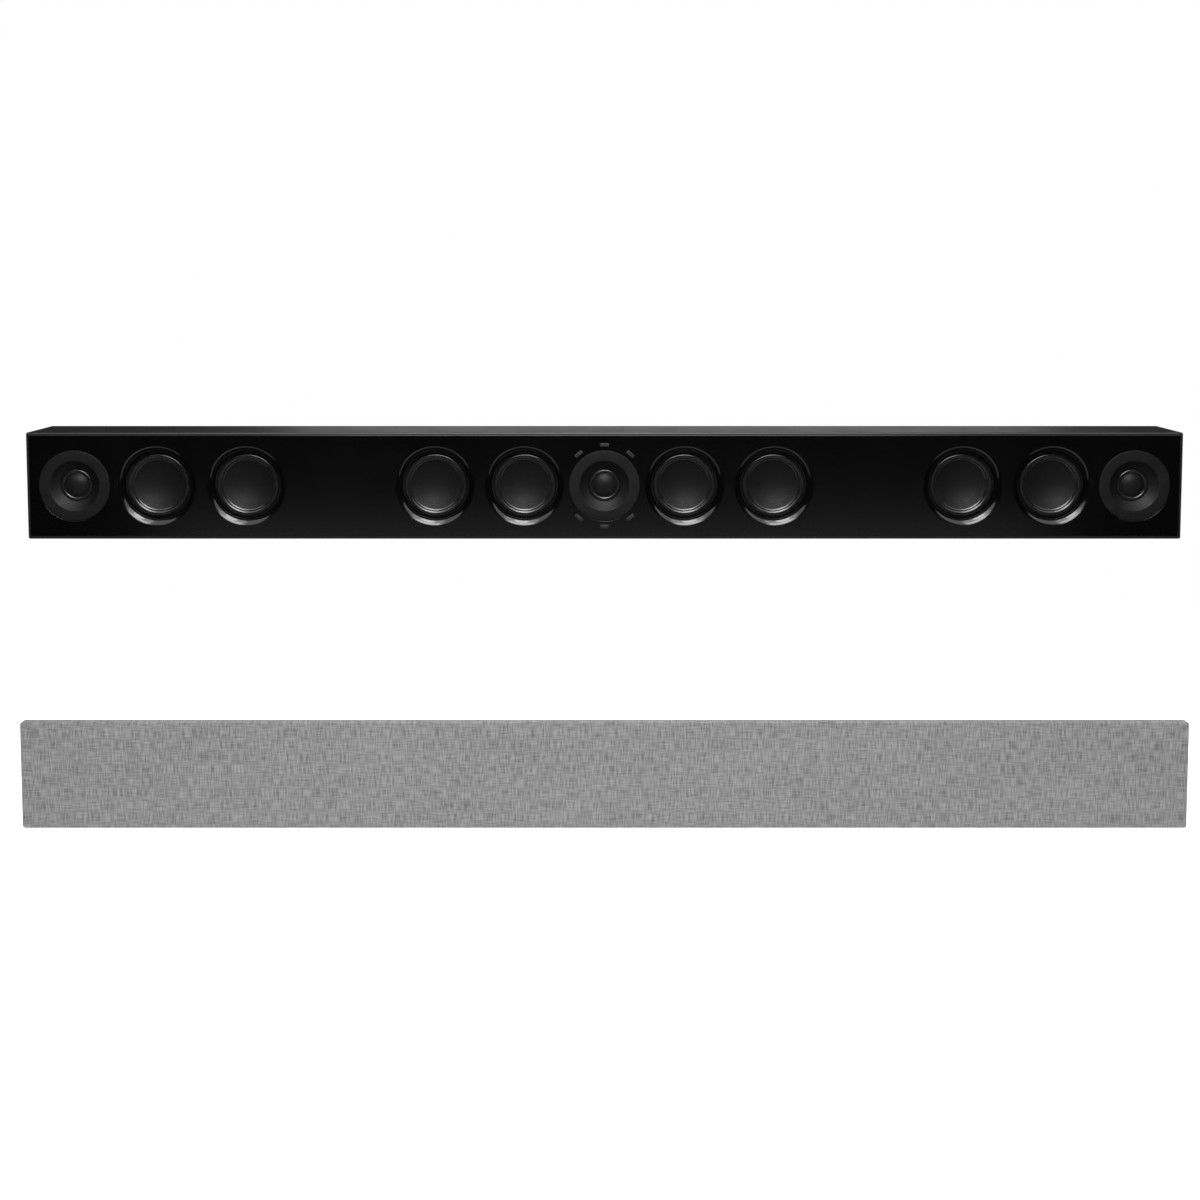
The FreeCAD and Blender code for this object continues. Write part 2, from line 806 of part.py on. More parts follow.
def make_woofers():
    """Eight woofers, each a moving cone on fixed parts that share one sub-part per kind."""
    magnet_front = "plate_depth + top_plate_thick"
    yoke_front = magnet_front + " + magnet_thick"
    kinds = {kind: [] for kind in ("basket", "surround", "spider", "top_plate", "magnet", "t_yoke", "screw")}
    for number, middle in enumerate(WOOFERS, start=1):
        tag = f"_{number}"
        node(f"woofer{tag}_cone", cone("cone" + tag, middle))
        kinds["basket"].append(basket("basket" + tag, middle))
        kinds["surround"].append(woofer_surround("surround" + tag, middle))
        spider_outer = "basket_wall_rear - basket_skin - 0.5"
        spider_inner = "former_outer + spider_gap"
        spider = ring("spider" + tag, middle, spider_inner, spider_outer, "spider_front", "lip_thick")
        kinds["spider"].append(spider)
        top = ring("top_plate" + tag, middle, "gap_outer", "motor_radius", "plate_depth", "top_plate_thick")
        kinds["top_plate"].append(top)
        magnet = ring("magnet" + tag, middle, "magnet_inner", "motor_radius", magnet_front, "magnet_thick")
        kinds["magnet"].append(magnet)
        sizes = ("pole_radius", "plate_depth", yoke_front, "motor_radius", "yoke_thick")
        kinds["t_yoke"].append(yoke("t_yoke" + tag, middle, *sizes))
        for spot, (x, z) in enumerate(woofer_screw_places(middle), start=1):
            bite = "screw_bite + flange_thick"
            name = f"woofer_screw{tag}_{spot}"
            kinds["screw"].append(driver_screw(name, x, z, "baffle_thick + flange_thick", bite))
    for kind, solids in kinds.items():
        node(f"woofer_{kind}s", group(f"all_{kind}s", solids))


# ---- tweeters ----

def faceplate(name, middle):
    """A round plate with a shallow waveguide, a ledge for the dome's surround and a back shell."""
    outline = [
        ("guide_radius", "0", "axis", -1),
        ("plate_radius", "0"),
        ("plate_radius", "plate_thick"),
        ("back_radius", "plate_thick"),
        ("back_radius", "back_depth"),
        ("throat_hole", "back_depth"),
        ("throat_hole", "ledge_depth + 1.4"),
        ("tweeter_roll_outer + 0.2", "ledge_depth + 1.4"),
        ("tweeter_roll_outer + 0.2", "ledge_depth"),
        ("guide_inner", "guide_depth"),
    ]
    solid = turned(name + "_solid", outline, (middle, FRONT, "0"))
    holes = []
    for spot, (x, z) in enumerate(tweeter_screw_places(middle), start=1):
        where = (x, FRONT + " + plate_thick - tweeter_screw_bite", z)
        holes.append(rod(f"{name}_hole_{spot}", where, "screw_radius", "tweeter_screw_bite"))
    return cut(name, solid, holes)


def dome(name, middle):
    """A soft dome on its voice coil former."""
    rim = "dome_rim_depth"
    outline = [
        ("0", rim + " - dome_rise"),
        ("dome_radius", rim, "axis", 1),
        ("dome_radius", rim + " + 0.5"),
        ("coil_outer", rim + " + 0.5"),
        ("coil_outer", "coil_end"),
        ("coil_inner", "coil_end"),
        ("coil_inner", rim + " + 0.2"),
        ("0", rim + " - dome_rise + dome_skin", "axis", -1),
    ]
    return turned(name, outline, (middle, FRONT, "0"))


def tweeter_surround(name, middle):
    """The small half roll round a dome."""
    base = "dome_rim_depth"
    outline = [
        ("tweeter_roll_inner", base),
        ("tweeter_roll_outer", base, "tweeter_roll_round", 1),
        ("tweeter_roll_outer", base + " + 0.9"),
        ("tweeter_roll_outer - 0.3", base + " + 0.9"),
        ("tweeter_roll_outer - 0.3", base + " + 0.3"),
        ("tweeter_roll_inner", base + " + 0.3", "tweeter_roll_round", -1),
    ]
    return turned(name, outline, (middle, FRONT, "0"))


def make_tweeters():
    """Three dome tweeters: faceplate and dome on their own, the rest one sub-part per kind."""
    magnet_front = "back_depth + tweeter_plate"
    yoke_front = magnet_front + " + tweeter_magnet"
    kinds = {kind: [] for kind in ("surround", "top_plate", "magnet", "t_yoke", "screw")}
    for side, middle in TWEETERS.items():
        tag = "_" + side
        node(f"tweeter{tag}_faceplate", faceplate("faceplate" + tag, middle))
        node(f"tweeter{tag}_dome", dome("dome" + tag, middle))
        kinds["surround"].append(tweeter_surround("dome_surround" + tag, middle))
        front_plate = ("tweeter_gap_outer", "tweeter_motor", "back_depth", "tweeter_plate")
        kinds["top_plate"].append(ring("tweeter_front_plate" + tag, middle, *front_plate))
        core = ("tweeter_magnet_inner", "tweeter_motor", magnet_front, "tweeter_magnet")
        kinds["magnet"].append(ring("tweeter_ring" + tag, middle, *core))
        pole = ("tweeter_pole", "back_depth", yoke_front, "tweeter_motor", "tweeter_yoke")
        kinds["t_yoke"].append(yoke("tweeter_pole_plate" + tag, middle, *pole))
        for spot, (x, z) in enumerate(tweeter_screw_places(middle), start=1):
            bite = "baffle_thick - plate_thick + tweeter_screw_bite"
            name = f"tweeter_screw{tag}_{spot}"
            kinds["screw"].append(driver_screw(name, x, z, "baffle_thick", bite))
    for kind, solids in kinds.items():
        node(f"tweeter_{kind}s", group(f"dome_{kind}s", solids))


# ---- grille ----

def make_grille():
    """The grille off the bar: below it and a little forward, with its back towards the wall."""
    front = FRONT + " - grille_gap - grille_thick - grille_forward"
    drop = "0 - grille_drop"
    half_x = "half_length"
    half_z = "half_height"
    along_y = runs_along(Y_AXIS)

    blank = slab("cloth_blank", "0", front, drop, half_x, "grille_thick", half_z)
    outer = rounded("cloth_outer", blank, "grille_corner", along_y)
    inside = slab(
        "cloth_inside",
        "0",
        front + " + cloth_thick",
        drop,
        half_x + " - cloth_thick",
        "grille_thick - cloth_thick - cloth_thick",
        half_z + " - cloth_thick",
    )
    open_back = slab(
        "cloth_open_back",
        "0",
        front + " + grille_thick - cloth_thick - 1",
        drop,
        half_x + " - hem_width",
        "cloth_thick + 2",
        half_z + " - hem_width",
    )
    soft_inside = rounded("cloth_soft_inside", inside, "grille_corner - cloth_thick", along_y)
    node("grille_cloth", cut("cloth", outer, [soft_inside, open_back]))

    frame_blank = slab(
        "frame_blank",
        "0",
        front + " + cloth_thick",
        drop,
        half_x + " - cloth_thick",
        "grille_thick - cloth_thick - cloth_thick",
        half_z + " - cloth_thick",
    )
    frame = rounded("frame_outer", frame_blank, "grille_corner - cloth_thick", along_y)
    side_span = "half_length - grille_border - divider_place - grille_rib"
    middle_half = "divider_place - grille_rib"
    windows = {
        "left": ("0 - half_length + grille_border", side_span),
        "middle": (minus(middle_half), middle_half + " + " + middle_half),
        "right": ("divider_place + grille_rib", side_span),
    }
    tools = []
    for name, (low_x, span) in windows.items():
        low = (low_x, front, drop + " - half_height + grille_border")
        high = "half_height + half_height - grille_border - grille_border"
        window = box(f"frame_window_{name}", low, (span, "grille_thick", high))
        tools.append(rounded(f"frame_soft_window_{name}", window, "grille_corner", along_y))
    magnets = []
    back = front + " + grille_thick - cloth_thick - magnet_disc_thick"
    for number, (x, z) in enumerate(magnet_places(), start=1):
        where = (x, back, drop + " + " + z)
        tools.append(rod(f"frame_pocket_{number}", where, "magnet_disc_radius", "magnet_disc_thick + 1"))
        magnets.append(rod(f"frame_disc_{number}", where, "magnet_disc_radius", "magnet_disc_thick"))
    node("grille_frame", cut("frame", frame, tools))
    node("grille_magnets", group("frame_discs", magnets))


# ---- terminals ----

def terminal_places():
    """The six terminals in a row across the back, from -X to +X."""
    steps = [value("terminal_pitch") * (number - 2.5) for number in range(6)]
    return [f"{step}" if step >= 0 else f"0 - {-step}" for step in steps]


def push_cap(name, x):
    """A push cap that slides on its post, hollow behind for the spring."""
    outline = [
        ("push_bore", "push_front"),
        ("push_radius - push_round", "push_front"),
        ("push_radius", "push_front + push_round", "push_round", 1),
        ("push_radius", "push_end"),
        ("push_hollow", "push_end"),
        ("push_hollow", "push_hollow_front"),
        ("push_bore", "push_hollow_front"),
    ]
    return turned(name, outline, (x, "0", "0"), HALF_TURN)


def terminal_post(name, x):
    """A metal post through the cup's floor, with a solder tail inside the bar."""
    outline = [
        ("0", "post_front"),
        ("post_radius", "post_front"),
        ("post_radius", "post_end"),
        ("0", "post_end"),
    ]
    return turned(name, outline, (x, "0", "0"), HALF_TURN)


def make_terminals():
    """The recessed terminal cup with its gasket, posts, springs, push caps and screws."""
    recess_sizes = ("recess_half", "recess_depth", "recess_high")
    recess = slab("terminal_recess", "0", "0 - recess_depth", "0", *recess_sizes)
    opening = slab("terminal_opening", "0", "0 - rear_wall", "0", "cup_half", "rear_wall", "cup_high")
    along_y = runs_along(Y_AXIS)
    soft_recess = rounded("terminal_soft_recess", recess, "cup_corner", along_y)
    soft_opening = rounded("terminal_soft_opening", opening, "cup_corner", along_y)

    flange = slab(
        "cup_flange_blank",
        "0",
        "0 - recess_depth + gasket_thick",
        "0",
        "recess_half",
        "recess_depth - gasket_thick",
        "recess_high",
    )
    well = slab("cup_well_blank", "0", "0 - cup_depth", "0", "cup_half", "cup_depth", "cup_high")
    hollow = slab(
        "cup_hollow_blank",
        "0",
        "0 - cup_depth + cup_floor",
        "0",
        "cup_half - cup_wall",
        "cup_depth - cup_floor",
        "cup_high - cup_wall",
    )
    soft_flange = rounded("cup_flange", flange, "cup_corner", along_y)
    soft_well = rounded("cup_well", well, "cup_corner", along_y)
    soft_hollow = rounded("cup_hollow", hollow, "cup_corner - cup_wall", along_y)
    shell = cut("cup_shell", fused("cup_outside", [soft_flange, soft_well]), [soft_hollow])

    boss_length = "cup_depth - cup_floor - guide_boss_front"
    floor = "0 - cup_depth + cup_floor"
    bosses = []
    bores = []
    posts = []
    springs = []
    for number, x in enumerate(terminal_places(), start=1):
        bosses.append(rod(f"guide_boss_{number}", (x, floor, "0"), "guide_boss_outer", boss_length))
        bores.append(rod(f"guide_bore_{number}", (x, floor, "0"), "guide_boss_inner", boss_length))
        bores.append(rod(f"post_bore_{number}", (x, "0 - cup_depth", "0"), "post_radius", "cup_floor"))
        posts.append(terminal_post(f"post_{number}", x))
        coil = [
            ("spring_inner", "push_hollow_front"),
            ("spring_outer", "push_hollow_front"),
            ("spring_outer", "cup_depth - cup_floor"),
            ("spring_inner", "cup_depth - cup_floor"),
        ]
        springs.append(turned(f"spring_{number}", coil, (x, "0", "0"), HALF_TURN))
        node(f"terminal_cap_{number}", push_cap(f"push_cap_{number}", x))
    screws = []
    for number, (x, z) in enumerate(corners_of("cup_screw_x", "cup_screw_z"), start=1):
        screw = countersunk(f"cup_screw_{number}", x, z, "cup_screw_length")
        screws.append(screw)

    cup = cut("cup", fused("cup_with_bosses", [shell] + bosses), bores + screws)
    node("terminal_cup", cup)
    wire_start = ("0 - cup_half", "0 - wire_hole_depth", "0")
    drill = rod("wire_drill", wire_start, "wire_hole", "cup_half + cup_half", ALONG_X)
    node("terminal_posts", cut("drilled_posts", group("posts", posts), [drill]))
    node("terminal_springs", group("springs", springs))
    node("terminal_cup_screws", group("cup_screws", screws))

    pad = slab("gasket_blank", "0", "0 - recess_depth", "0", "recess_half", "gasket_thick", "recess_high")
    soft_pad = rounded("gasket_outer", pad, "cup_corner", along_y)
    node("terminal_gasket", cut("gasket", soft_pad, [soft_opening] + screws))
    return [soft_recess, soft_opening] + screws


# ---- wall fixings ----

def countersunk(name, x, z, length):
    """A small countersunk screw driven in from the back face."""
    outline = [
        ("0", "0"),
        ("countersunk_head", "0"),
        ("countersunk_shank", "countersunk_depth"),
        ("countersunk_shank", length),
        ("0", length),
    ]
    return turned(name, outline, (x, "0", z), HALF_TURN)


def make_keyhole_plates():
    """Two steel plates behind windows in the back, each with a keyhole to hang the bar on."""
    openings = []
    plates = []
    screws = []
    along_y = runs_along(Y_AXIS)
    for side, middle in (("left", "0 - keyhole_place"), ("right", "keyhole_place")):
        window = slab(
            f"keyhole_window_{side}_blank",
            middle,
            "0 - rear_wall",
            "0",
            "keyhole_window_half",
            "rear_wall",
            "keyhole_window_high",
        )
        openings.append(rounded(f"keyhole_window_{side}", window, "cup_corner", along_y))
        plate_front = "0 - rear_wall - keyhole_plate_thick"
        blank = slab(
            f"keyhole_plate_{side}_blank",
            middle,
            plate_front,
            "0",
            "keyhole_plate_half",
            "keyhole_plate_thick",
            "keyhole_plate_high",
        )
        soft = rounded(f"keyhole_plate_{side}_soft", blank, "grille_corner", along_y)
        low_z = "0 - keyhole_reach"
        thick = "keyhole_plate_thick"
        tall = ("keyhole_slot + keyhole_slot", thick, "keyhole_reach + keyhole_reach")
        neck_low = (middle + " - keyhole_slot", plate_front, low_z)
        shapes = [
            rod(f"keyhole_entry_{side}", (middle, plate_front, low_z), "keyhole_entry", thick),
            rod(f"keyhole_top_{side}", (middle, plate_front, "keyhole_reach"), "keyhole_slot", thick),
            box(f"keyhole_neck_{side}", neck_low, tall),
        ]
        held = []
        for number, (across, up) in enumerate(corners_of("keyhole_screw_x", "keyhole_screw_z"), start=1):
            x = f"{middle} + {across}"
            length = "rear_wall + keyhole_plate_thick + 1"
            held.append(countersunk(f"keyhole_screw_{side}_{number}", x, up, length))
        plates.append(cut(f"keyhole_plate_{side}", soft, shapes + held))
        screws += held
    node("keyhole_plates", group("keyhole_pair", plates))
    node("keyhole_plate_screws", group("keyhole_screws", screws))
    return openings + screws


def make_rear_pads():
    """Four rubber pads let into the back, flush with it."""
    pads = []
    for number, (x, z) in enumerate(corners_of("pad_x", "pad_z"), start=1):
        pads.append(rod(f"pad_{number}", (x, "0 - pad_thick", z), "pad_radius", "pad_thick"))
    node("rear_pads", group("pads", pads))
    return pads


def make_inserts():
    """Four threaded inserts in the back for a wall bracket."""
    outline = [
        ("insert_bore", "0"),
        ("insert_head", "0"),
        ("insert_head", "insert_head_thick"),
        ("insert_body", "insert_head_thick"),
        ("insert_body", "insert_length"),
        ("insert_bore", "insert_length"),
    ]
    seat = [
        ("0", "0"),
        ("insert_head", "0"),
        ("insert_head", "insert_head_thick"),
        ("insert_body", "insert_head_thick"),
        ("insert_body", "rear_wall"),
        ("0", "rear_wall"),
    ]
    inserts = []
    seats = []
    for number, (x, z) in enumerate(corners_of("insert_x", "insert_z"), start=1):
        inserts.append(turned(f"insert_{number}", outline, (x, "0", z), HALF_TURN))
        seats.append(turned(f"insert_seat_{number}", seat, (x, "0", z), HALF_TURN))
    node("bracket_inserts", group("inserts", inserts))
    return seats


# ---- crossovers and wiring ----

def make_crossovers():
    """Three boards on standoffs inside the back, with two chokes, two cans and a resistor each."""
    kinds = {kind: [] for kind in ("board", "standoff", "choke", "can", "resistor")}
    face = "0 - rear_wall - standoff_length"
    board_front = face + " - board_thick"
    pin = [
        ("0", "rear_wall"),
        ("standoff_radius", "rear_wall"),
        ("standoff_radius", "rear_wall + standoff_length"),
        ("standoff_pin", "rear_wall + standoff_length"),
        ("standoff_pin", "rear_wall + standoff_length + board_thick"),
        ("standoff_head", "rear_wall + standoff_length + board_thick"),
        ("standoff_pin", "rear_wall + standoff_length + board_thick + 2"),
        ("0", "rear_wall + standoff_length + board_thick + 2"),
    ]
    seat = "rear_wall + standoff_length + board_thick"
    reel = [
        ("choke_bore", seat),
        ("choke_radius + choke_cheek", seat),
        ("choke_radius + choke_cheek", seat + " + choke_cheek"),
        ("choke_radius", seat + " + choke_cheek"),
        ("choke_radius", seat + " + choke_length - choke_cheek"),
        ("choke_radius + choke_cheek", seat + " + choke_length - choke_cheek"),
        ("choke_radius + choke_cheek", seat + " + choke_length"),
        ("choke_bore", seat + " + choke_length"),
    ]
    places = {"left": "0 - side_board_place", "centre": "middle_board_place", "right": "side_board_place"}
    for side, middle in places.items():
        card_sizes = ("board_half", "board_thick", "board_high")
        card = slab(f"board_{side}_card", middle, board_front, "0", *card_sizes)
        pins = []
        holes = []
        for number, (across, up) in enumerate(corners_of("standoff_x", "standoff_z"), start=1):
            x = f"{middle} + {across}"
            pins.append(turned(f"standoff_{side}_{number}", pin, (x, "0", up), HALF_TURN))
            start = (x, board_front, up)
            holes.append(rod(f"board_{side}_hole_{number}", start, "standoff_pin", "board_thick"))
        kinds["standoff"] += pins
        kinds["board"].append(cut(f"board_{side}", card, holes))
        for number, across in enumerate(("choke_outer", "choke_inner"), start=1):
            where = (f"{middle} - {across}", "0", "choke_up")
            kinds["choke"].append(turned(f"choke_{side}_{number}", reel, where, HALF_TURN))
        can_y = board_front + " - can_radius"
        for number, up in enumerate(("can_low", "can_high"), start=1):
            start = (middle + " + can_start", can_y, up)
            kinds["can"].append(rod(f"can_{side}_{number}", start, "can_radius", "can_length", ALONG_X))
        low_x = middle + " - resistor_start"
        low = (low_x, board_front + " - resistor_size", "0 - resistor_down")
        sides = ("resistor_length", "resistor_size", "resistor_size")
        kinds["resistor"].append(box(f"resistor_{side}", low, sides))
    names = {
        "board": "crossover_boards",
        "standoff": "board_standoffs",
        "choke": "crossover_inductors",
        "can": "crossover_capacitors",
        "resistor": "crossover_resistors",
    }
    for kind, label in names.items():
        node(label, group(f"all_{kind}s", kinds[kind]))


def lead(name, sums):
    """A round lead along straight runs joined by the largest tangent arcs that they allow."""
    points = [FreeCAD.Vector(*[value(text) for text in point]) for point in sums]
    edges = []
    start = points[0]
    for before, corner, after in zip(points, points[1:], points[2:]):
        inward = (before - corner).normalize()
        outward = (after - corner).normalize()
        trim = 0.45 * min((before - corner).Length, (after - corner).Length)
        arc_start = corner + inward * trim
        arc_end = corner + outward * trim
        radius = trim * math.tan(inward.getAngle(outward) / 2)
        bisector = (inward + outward).normalize()
        middle = corner + bisector * (math.hypot(trim, radius) - radius)
        edges.append(Part.LineSegment(start, arc_start).toShape())
        edges.append(Part.Arc(arc_start, middle, arc_end).toShape())
        start = arc_end
    edges.append(Part.LineSegment(start, points[-1]).toShape())
    direction = points[1] - points[0]
    ring_edge = Part.makeCircle(value("lead_radius"), points[0], direction)
    path = Part.Wire(edges)
    tube = path.makePipeShell([Part.Wire([ring_edge])], True, False)
    wire = doc.addObject("Part::Feature", name)
    wire.Shape = tube
    return wire


def make_wiring():
    """Feed leads from the terminals to the boards, and one lead from a board to each woofer.

    A route is a list of places that its lead bends towards, measured from the origin.
    """
    trunk_low = ("0 - trunk_back", "0 - trunk_down")
    leads = []
    feeds = {
        "left": ("0 - 45", "- 60", "0 - side_board_place + 44"),
        "right": ("45", "+ 60", "side_board_place - 44"),
    }
    for side, (post_x, outward, board_x) in feeds.items():
        route = [
            (post_x, "0 - post_end - lead_radius", "0 - 6"),
            (post_x, "0 - 30", "0 - 24"),
            (f"{post_x} {outward}", *trunk_low),
            (board_x, *trunk_low),
            (board_x, "0 - 14", "0 - 32"),
        ]
        leads.append(lead(f"feed_{side}", route))
    centre_route = [
        ("9", "0 - post_end - lead_radius", "0 - 6"),
        ("16", "0 - 31", "0 - 22"),
        ("50", "0 - 24", "0 - 30"),
        ("middle_board_place - 44", "0 - 16", "0 - 26"),
    ]
    leads.append(lead("feed_centre", centre_route))
    for number, middle in enumerate(WOOFERS, start=1):
        route = [
            (middle + " + 8", "0 - 27", "0 - 33"),
            (middle + " + 4", "0 - 37", "0 - 38"),
            (middle, "0 - 48", "0 - 39"),
            (middle, "0 - 55", "0 - 34"),
        ]
        leads.append(lead(f"woofer_lead_{number}", route))
    node("wiring_loom", group("loom", leads))


# ---- the whole bar ----

openings = make_terminals() + make_keyhole_plates() + make_rear_pads() + make_inserts()
make_sleeve(openings)
make_end_caps()
make_dividers()
make_felt()
make_baffle()
make_index_marks()
make_woofers()
make_tweeters()
make_crossovers()
make_wiring()
make_grille()
doc.recompute()

for thing in doc.Objects:
    if "Invalid" in thing.State or "Error" in thing.State:
        raise RuntimeError(f"{thing.Label} did not compute: {thing.State}")
for sub_part in nodes:
    if sub_part.Shape.isNull() or not sub_part.Shape.isValid():
        raise RuntimeError(f"{sub_part.Label} has no valid shape")

os.makedirs("parts", exist_ok=True)
for sub_part in nodes:
    sub_part.Shape.exportStep(f"parts/{sub_part.Label}.step")
    print(f"{sub_part.Label}: {len(sub_part.Shape.Solids)} solids, {sub_part.Shape.Volume:.0f} mm3")
print(len(nodes), "sub-parts")
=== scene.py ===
"""Looks for the soundbar: finishes, fine round parts, grille cloth, light and camera.

Profiles are (radius, depth) pairs in millimetres, with depth measured back from the baffle's front.
Everything else is in metres, with X along the bar, Y to the back and Z up.
"""

import json
import math

import bmesh
import bpy
import numpy as np
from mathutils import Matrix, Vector

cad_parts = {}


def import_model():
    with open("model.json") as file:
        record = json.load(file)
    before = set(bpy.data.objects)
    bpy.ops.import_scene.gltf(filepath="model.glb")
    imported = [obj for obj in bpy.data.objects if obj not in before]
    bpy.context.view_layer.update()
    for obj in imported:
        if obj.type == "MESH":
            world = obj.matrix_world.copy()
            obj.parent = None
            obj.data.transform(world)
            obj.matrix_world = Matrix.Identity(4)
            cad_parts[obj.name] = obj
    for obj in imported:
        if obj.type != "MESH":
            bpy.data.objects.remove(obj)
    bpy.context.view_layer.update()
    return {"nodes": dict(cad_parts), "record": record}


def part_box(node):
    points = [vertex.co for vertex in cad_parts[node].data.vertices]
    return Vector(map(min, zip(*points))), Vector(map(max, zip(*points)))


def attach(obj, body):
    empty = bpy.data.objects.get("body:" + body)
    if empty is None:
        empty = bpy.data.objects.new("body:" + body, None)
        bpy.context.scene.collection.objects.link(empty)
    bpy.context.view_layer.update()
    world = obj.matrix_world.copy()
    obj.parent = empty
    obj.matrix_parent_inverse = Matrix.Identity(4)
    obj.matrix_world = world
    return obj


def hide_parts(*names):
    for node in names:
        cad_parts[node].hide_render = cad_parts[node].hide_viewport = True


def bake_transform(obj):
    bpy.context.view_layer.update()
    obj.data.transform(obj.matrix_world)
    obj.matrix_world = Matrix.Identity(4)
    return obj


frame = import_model()

MM = 0.001
ROUND = 144
SMALL_ROUND = 96
WOOFERS = range(1, 9)
TWEETERS = ("left", "centre", "right")
CAPS = range(1, 7)
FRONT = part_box("front_baffle")[0].y
FLAT_PLACE = "flat_place"
CAP_RED = (0.36, 0.012, 0.012)


# ---- shapes ----

def arc(centre, radius, first, last, steps=12):
    """Points on a round arc in a profile, angles in degrees from the radius axis."""
    angles = [math.radians(first + (last - first) * k / steps) for k in range(steps + 1)]
    return [(centre[0] + radius * math.cos(a), centre[1] + radius * math.sin(a)) for a in angles]


def sphere_zone(inner, outer, inner_depth, outer_depth, steps=24):
    """Profile of a sphere on the axis, from radius inner at its depth out to radius outer."""
    rise = outer_depth - inner_depth
    middle = (outer**2 - inner**2 + outer_depth**2 - inner_depth**2) / (2 * rise)
    reach = math.hypot(inner, inner_depth - middle)
    side = 1 if inner_depth > middle else -1
    radii = [inner + (outer - inner) * k / steps for k in range(steps + 1)]
    return [(r, middle + side * math.sqrt(reach**2 - r**2)) for r in radii]


def middle_of(node):
    """The middle of a CAD node's box."""
    low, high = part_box(node)
    return (low + high) / 2


def mesh_object(name, points, faces, sharp=20):
    """A smooth object from points and faces, creased where it turns by more than sharp degrees."""
    mesh = bpy.data.meshes.new(name)
    mesh.from_pydata(points, [], faces)
    shaped = bmesh.new()
    shaped.from_mesh(mesh)
    bmesh.ops.recalc_face_normals(shaped, faces=shaped.faces)
    shaped.to_mesh(mesh)
    shaped.free()
    return finish_mesh(name, mesh, sharp)


def finish_mesh(name, mesh, sharp):
    """Shades a mesh smooth between its creases and puts it in the scene."""
    mesh.polygons.foreach_set("use_smooth", [True] * len(mesh.polygons))
    mesh.set_sharp_from_angle(angle=math.radians(sharp))
    made = bpy.data.objects.new(name, mesh)
    bpy.context.scene.collection.objects.link(made)
    return made


def lathe(name, outline, place, way=1, segments=ROUND, sharp=20):
    """Turns (radius, depth) points in millimetres about Y. Depth runs along way * Y from place."""
    points, rings = [], []
    for radius, depth in outline:
        count = 1 if radius < 1e-6 else segments
        rings.append(range(len(points), len(points) + count))
        for k in range(count):
            a = 2 * math.pi * k / segments
            points.append((radius * math.cos(a) * MM, way * depth * MM, radius * math.sin(a) * MM))
    faces = []
    pairs = list(zip(rings, rings[1:]))
    if len(rings[0]) > 1:
        pairs.append((rings[-1], rings[0]))
    for one, two in pairs:
        for k in range(segments):
            after = (k + 1) % segments
            corners = [one[k % len(one)], one[after % len(one)]]
            corners += [two[after % len(two)], two[k % len(two)]]
            add_face(faces, corners)
    made = mesh_object(name, points, faces, sharp)
    made.location = place
    return made


def add_face(faces, corners):
    """Adds a face without its repeated corners, unless they leave nothing of it."""
    face = list(dict.fromkeys(corners))
    if len(face) > 2:
        faces.append(face)


def stand_in(made, body, slot, *nodes):
    """Puts a piece on its body, in place of CAD nodes, with the finish of a slot."""
    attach(made, body)
    dress(made, slot, *nodes)


def dress(made, slot, *nodes):
    """Lets a piece replace CAD nodes and gives it the finish of a slot."""
    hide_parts(*nodes)
    made.data.materials.append(finishes[slot])


# ---- finishes ----

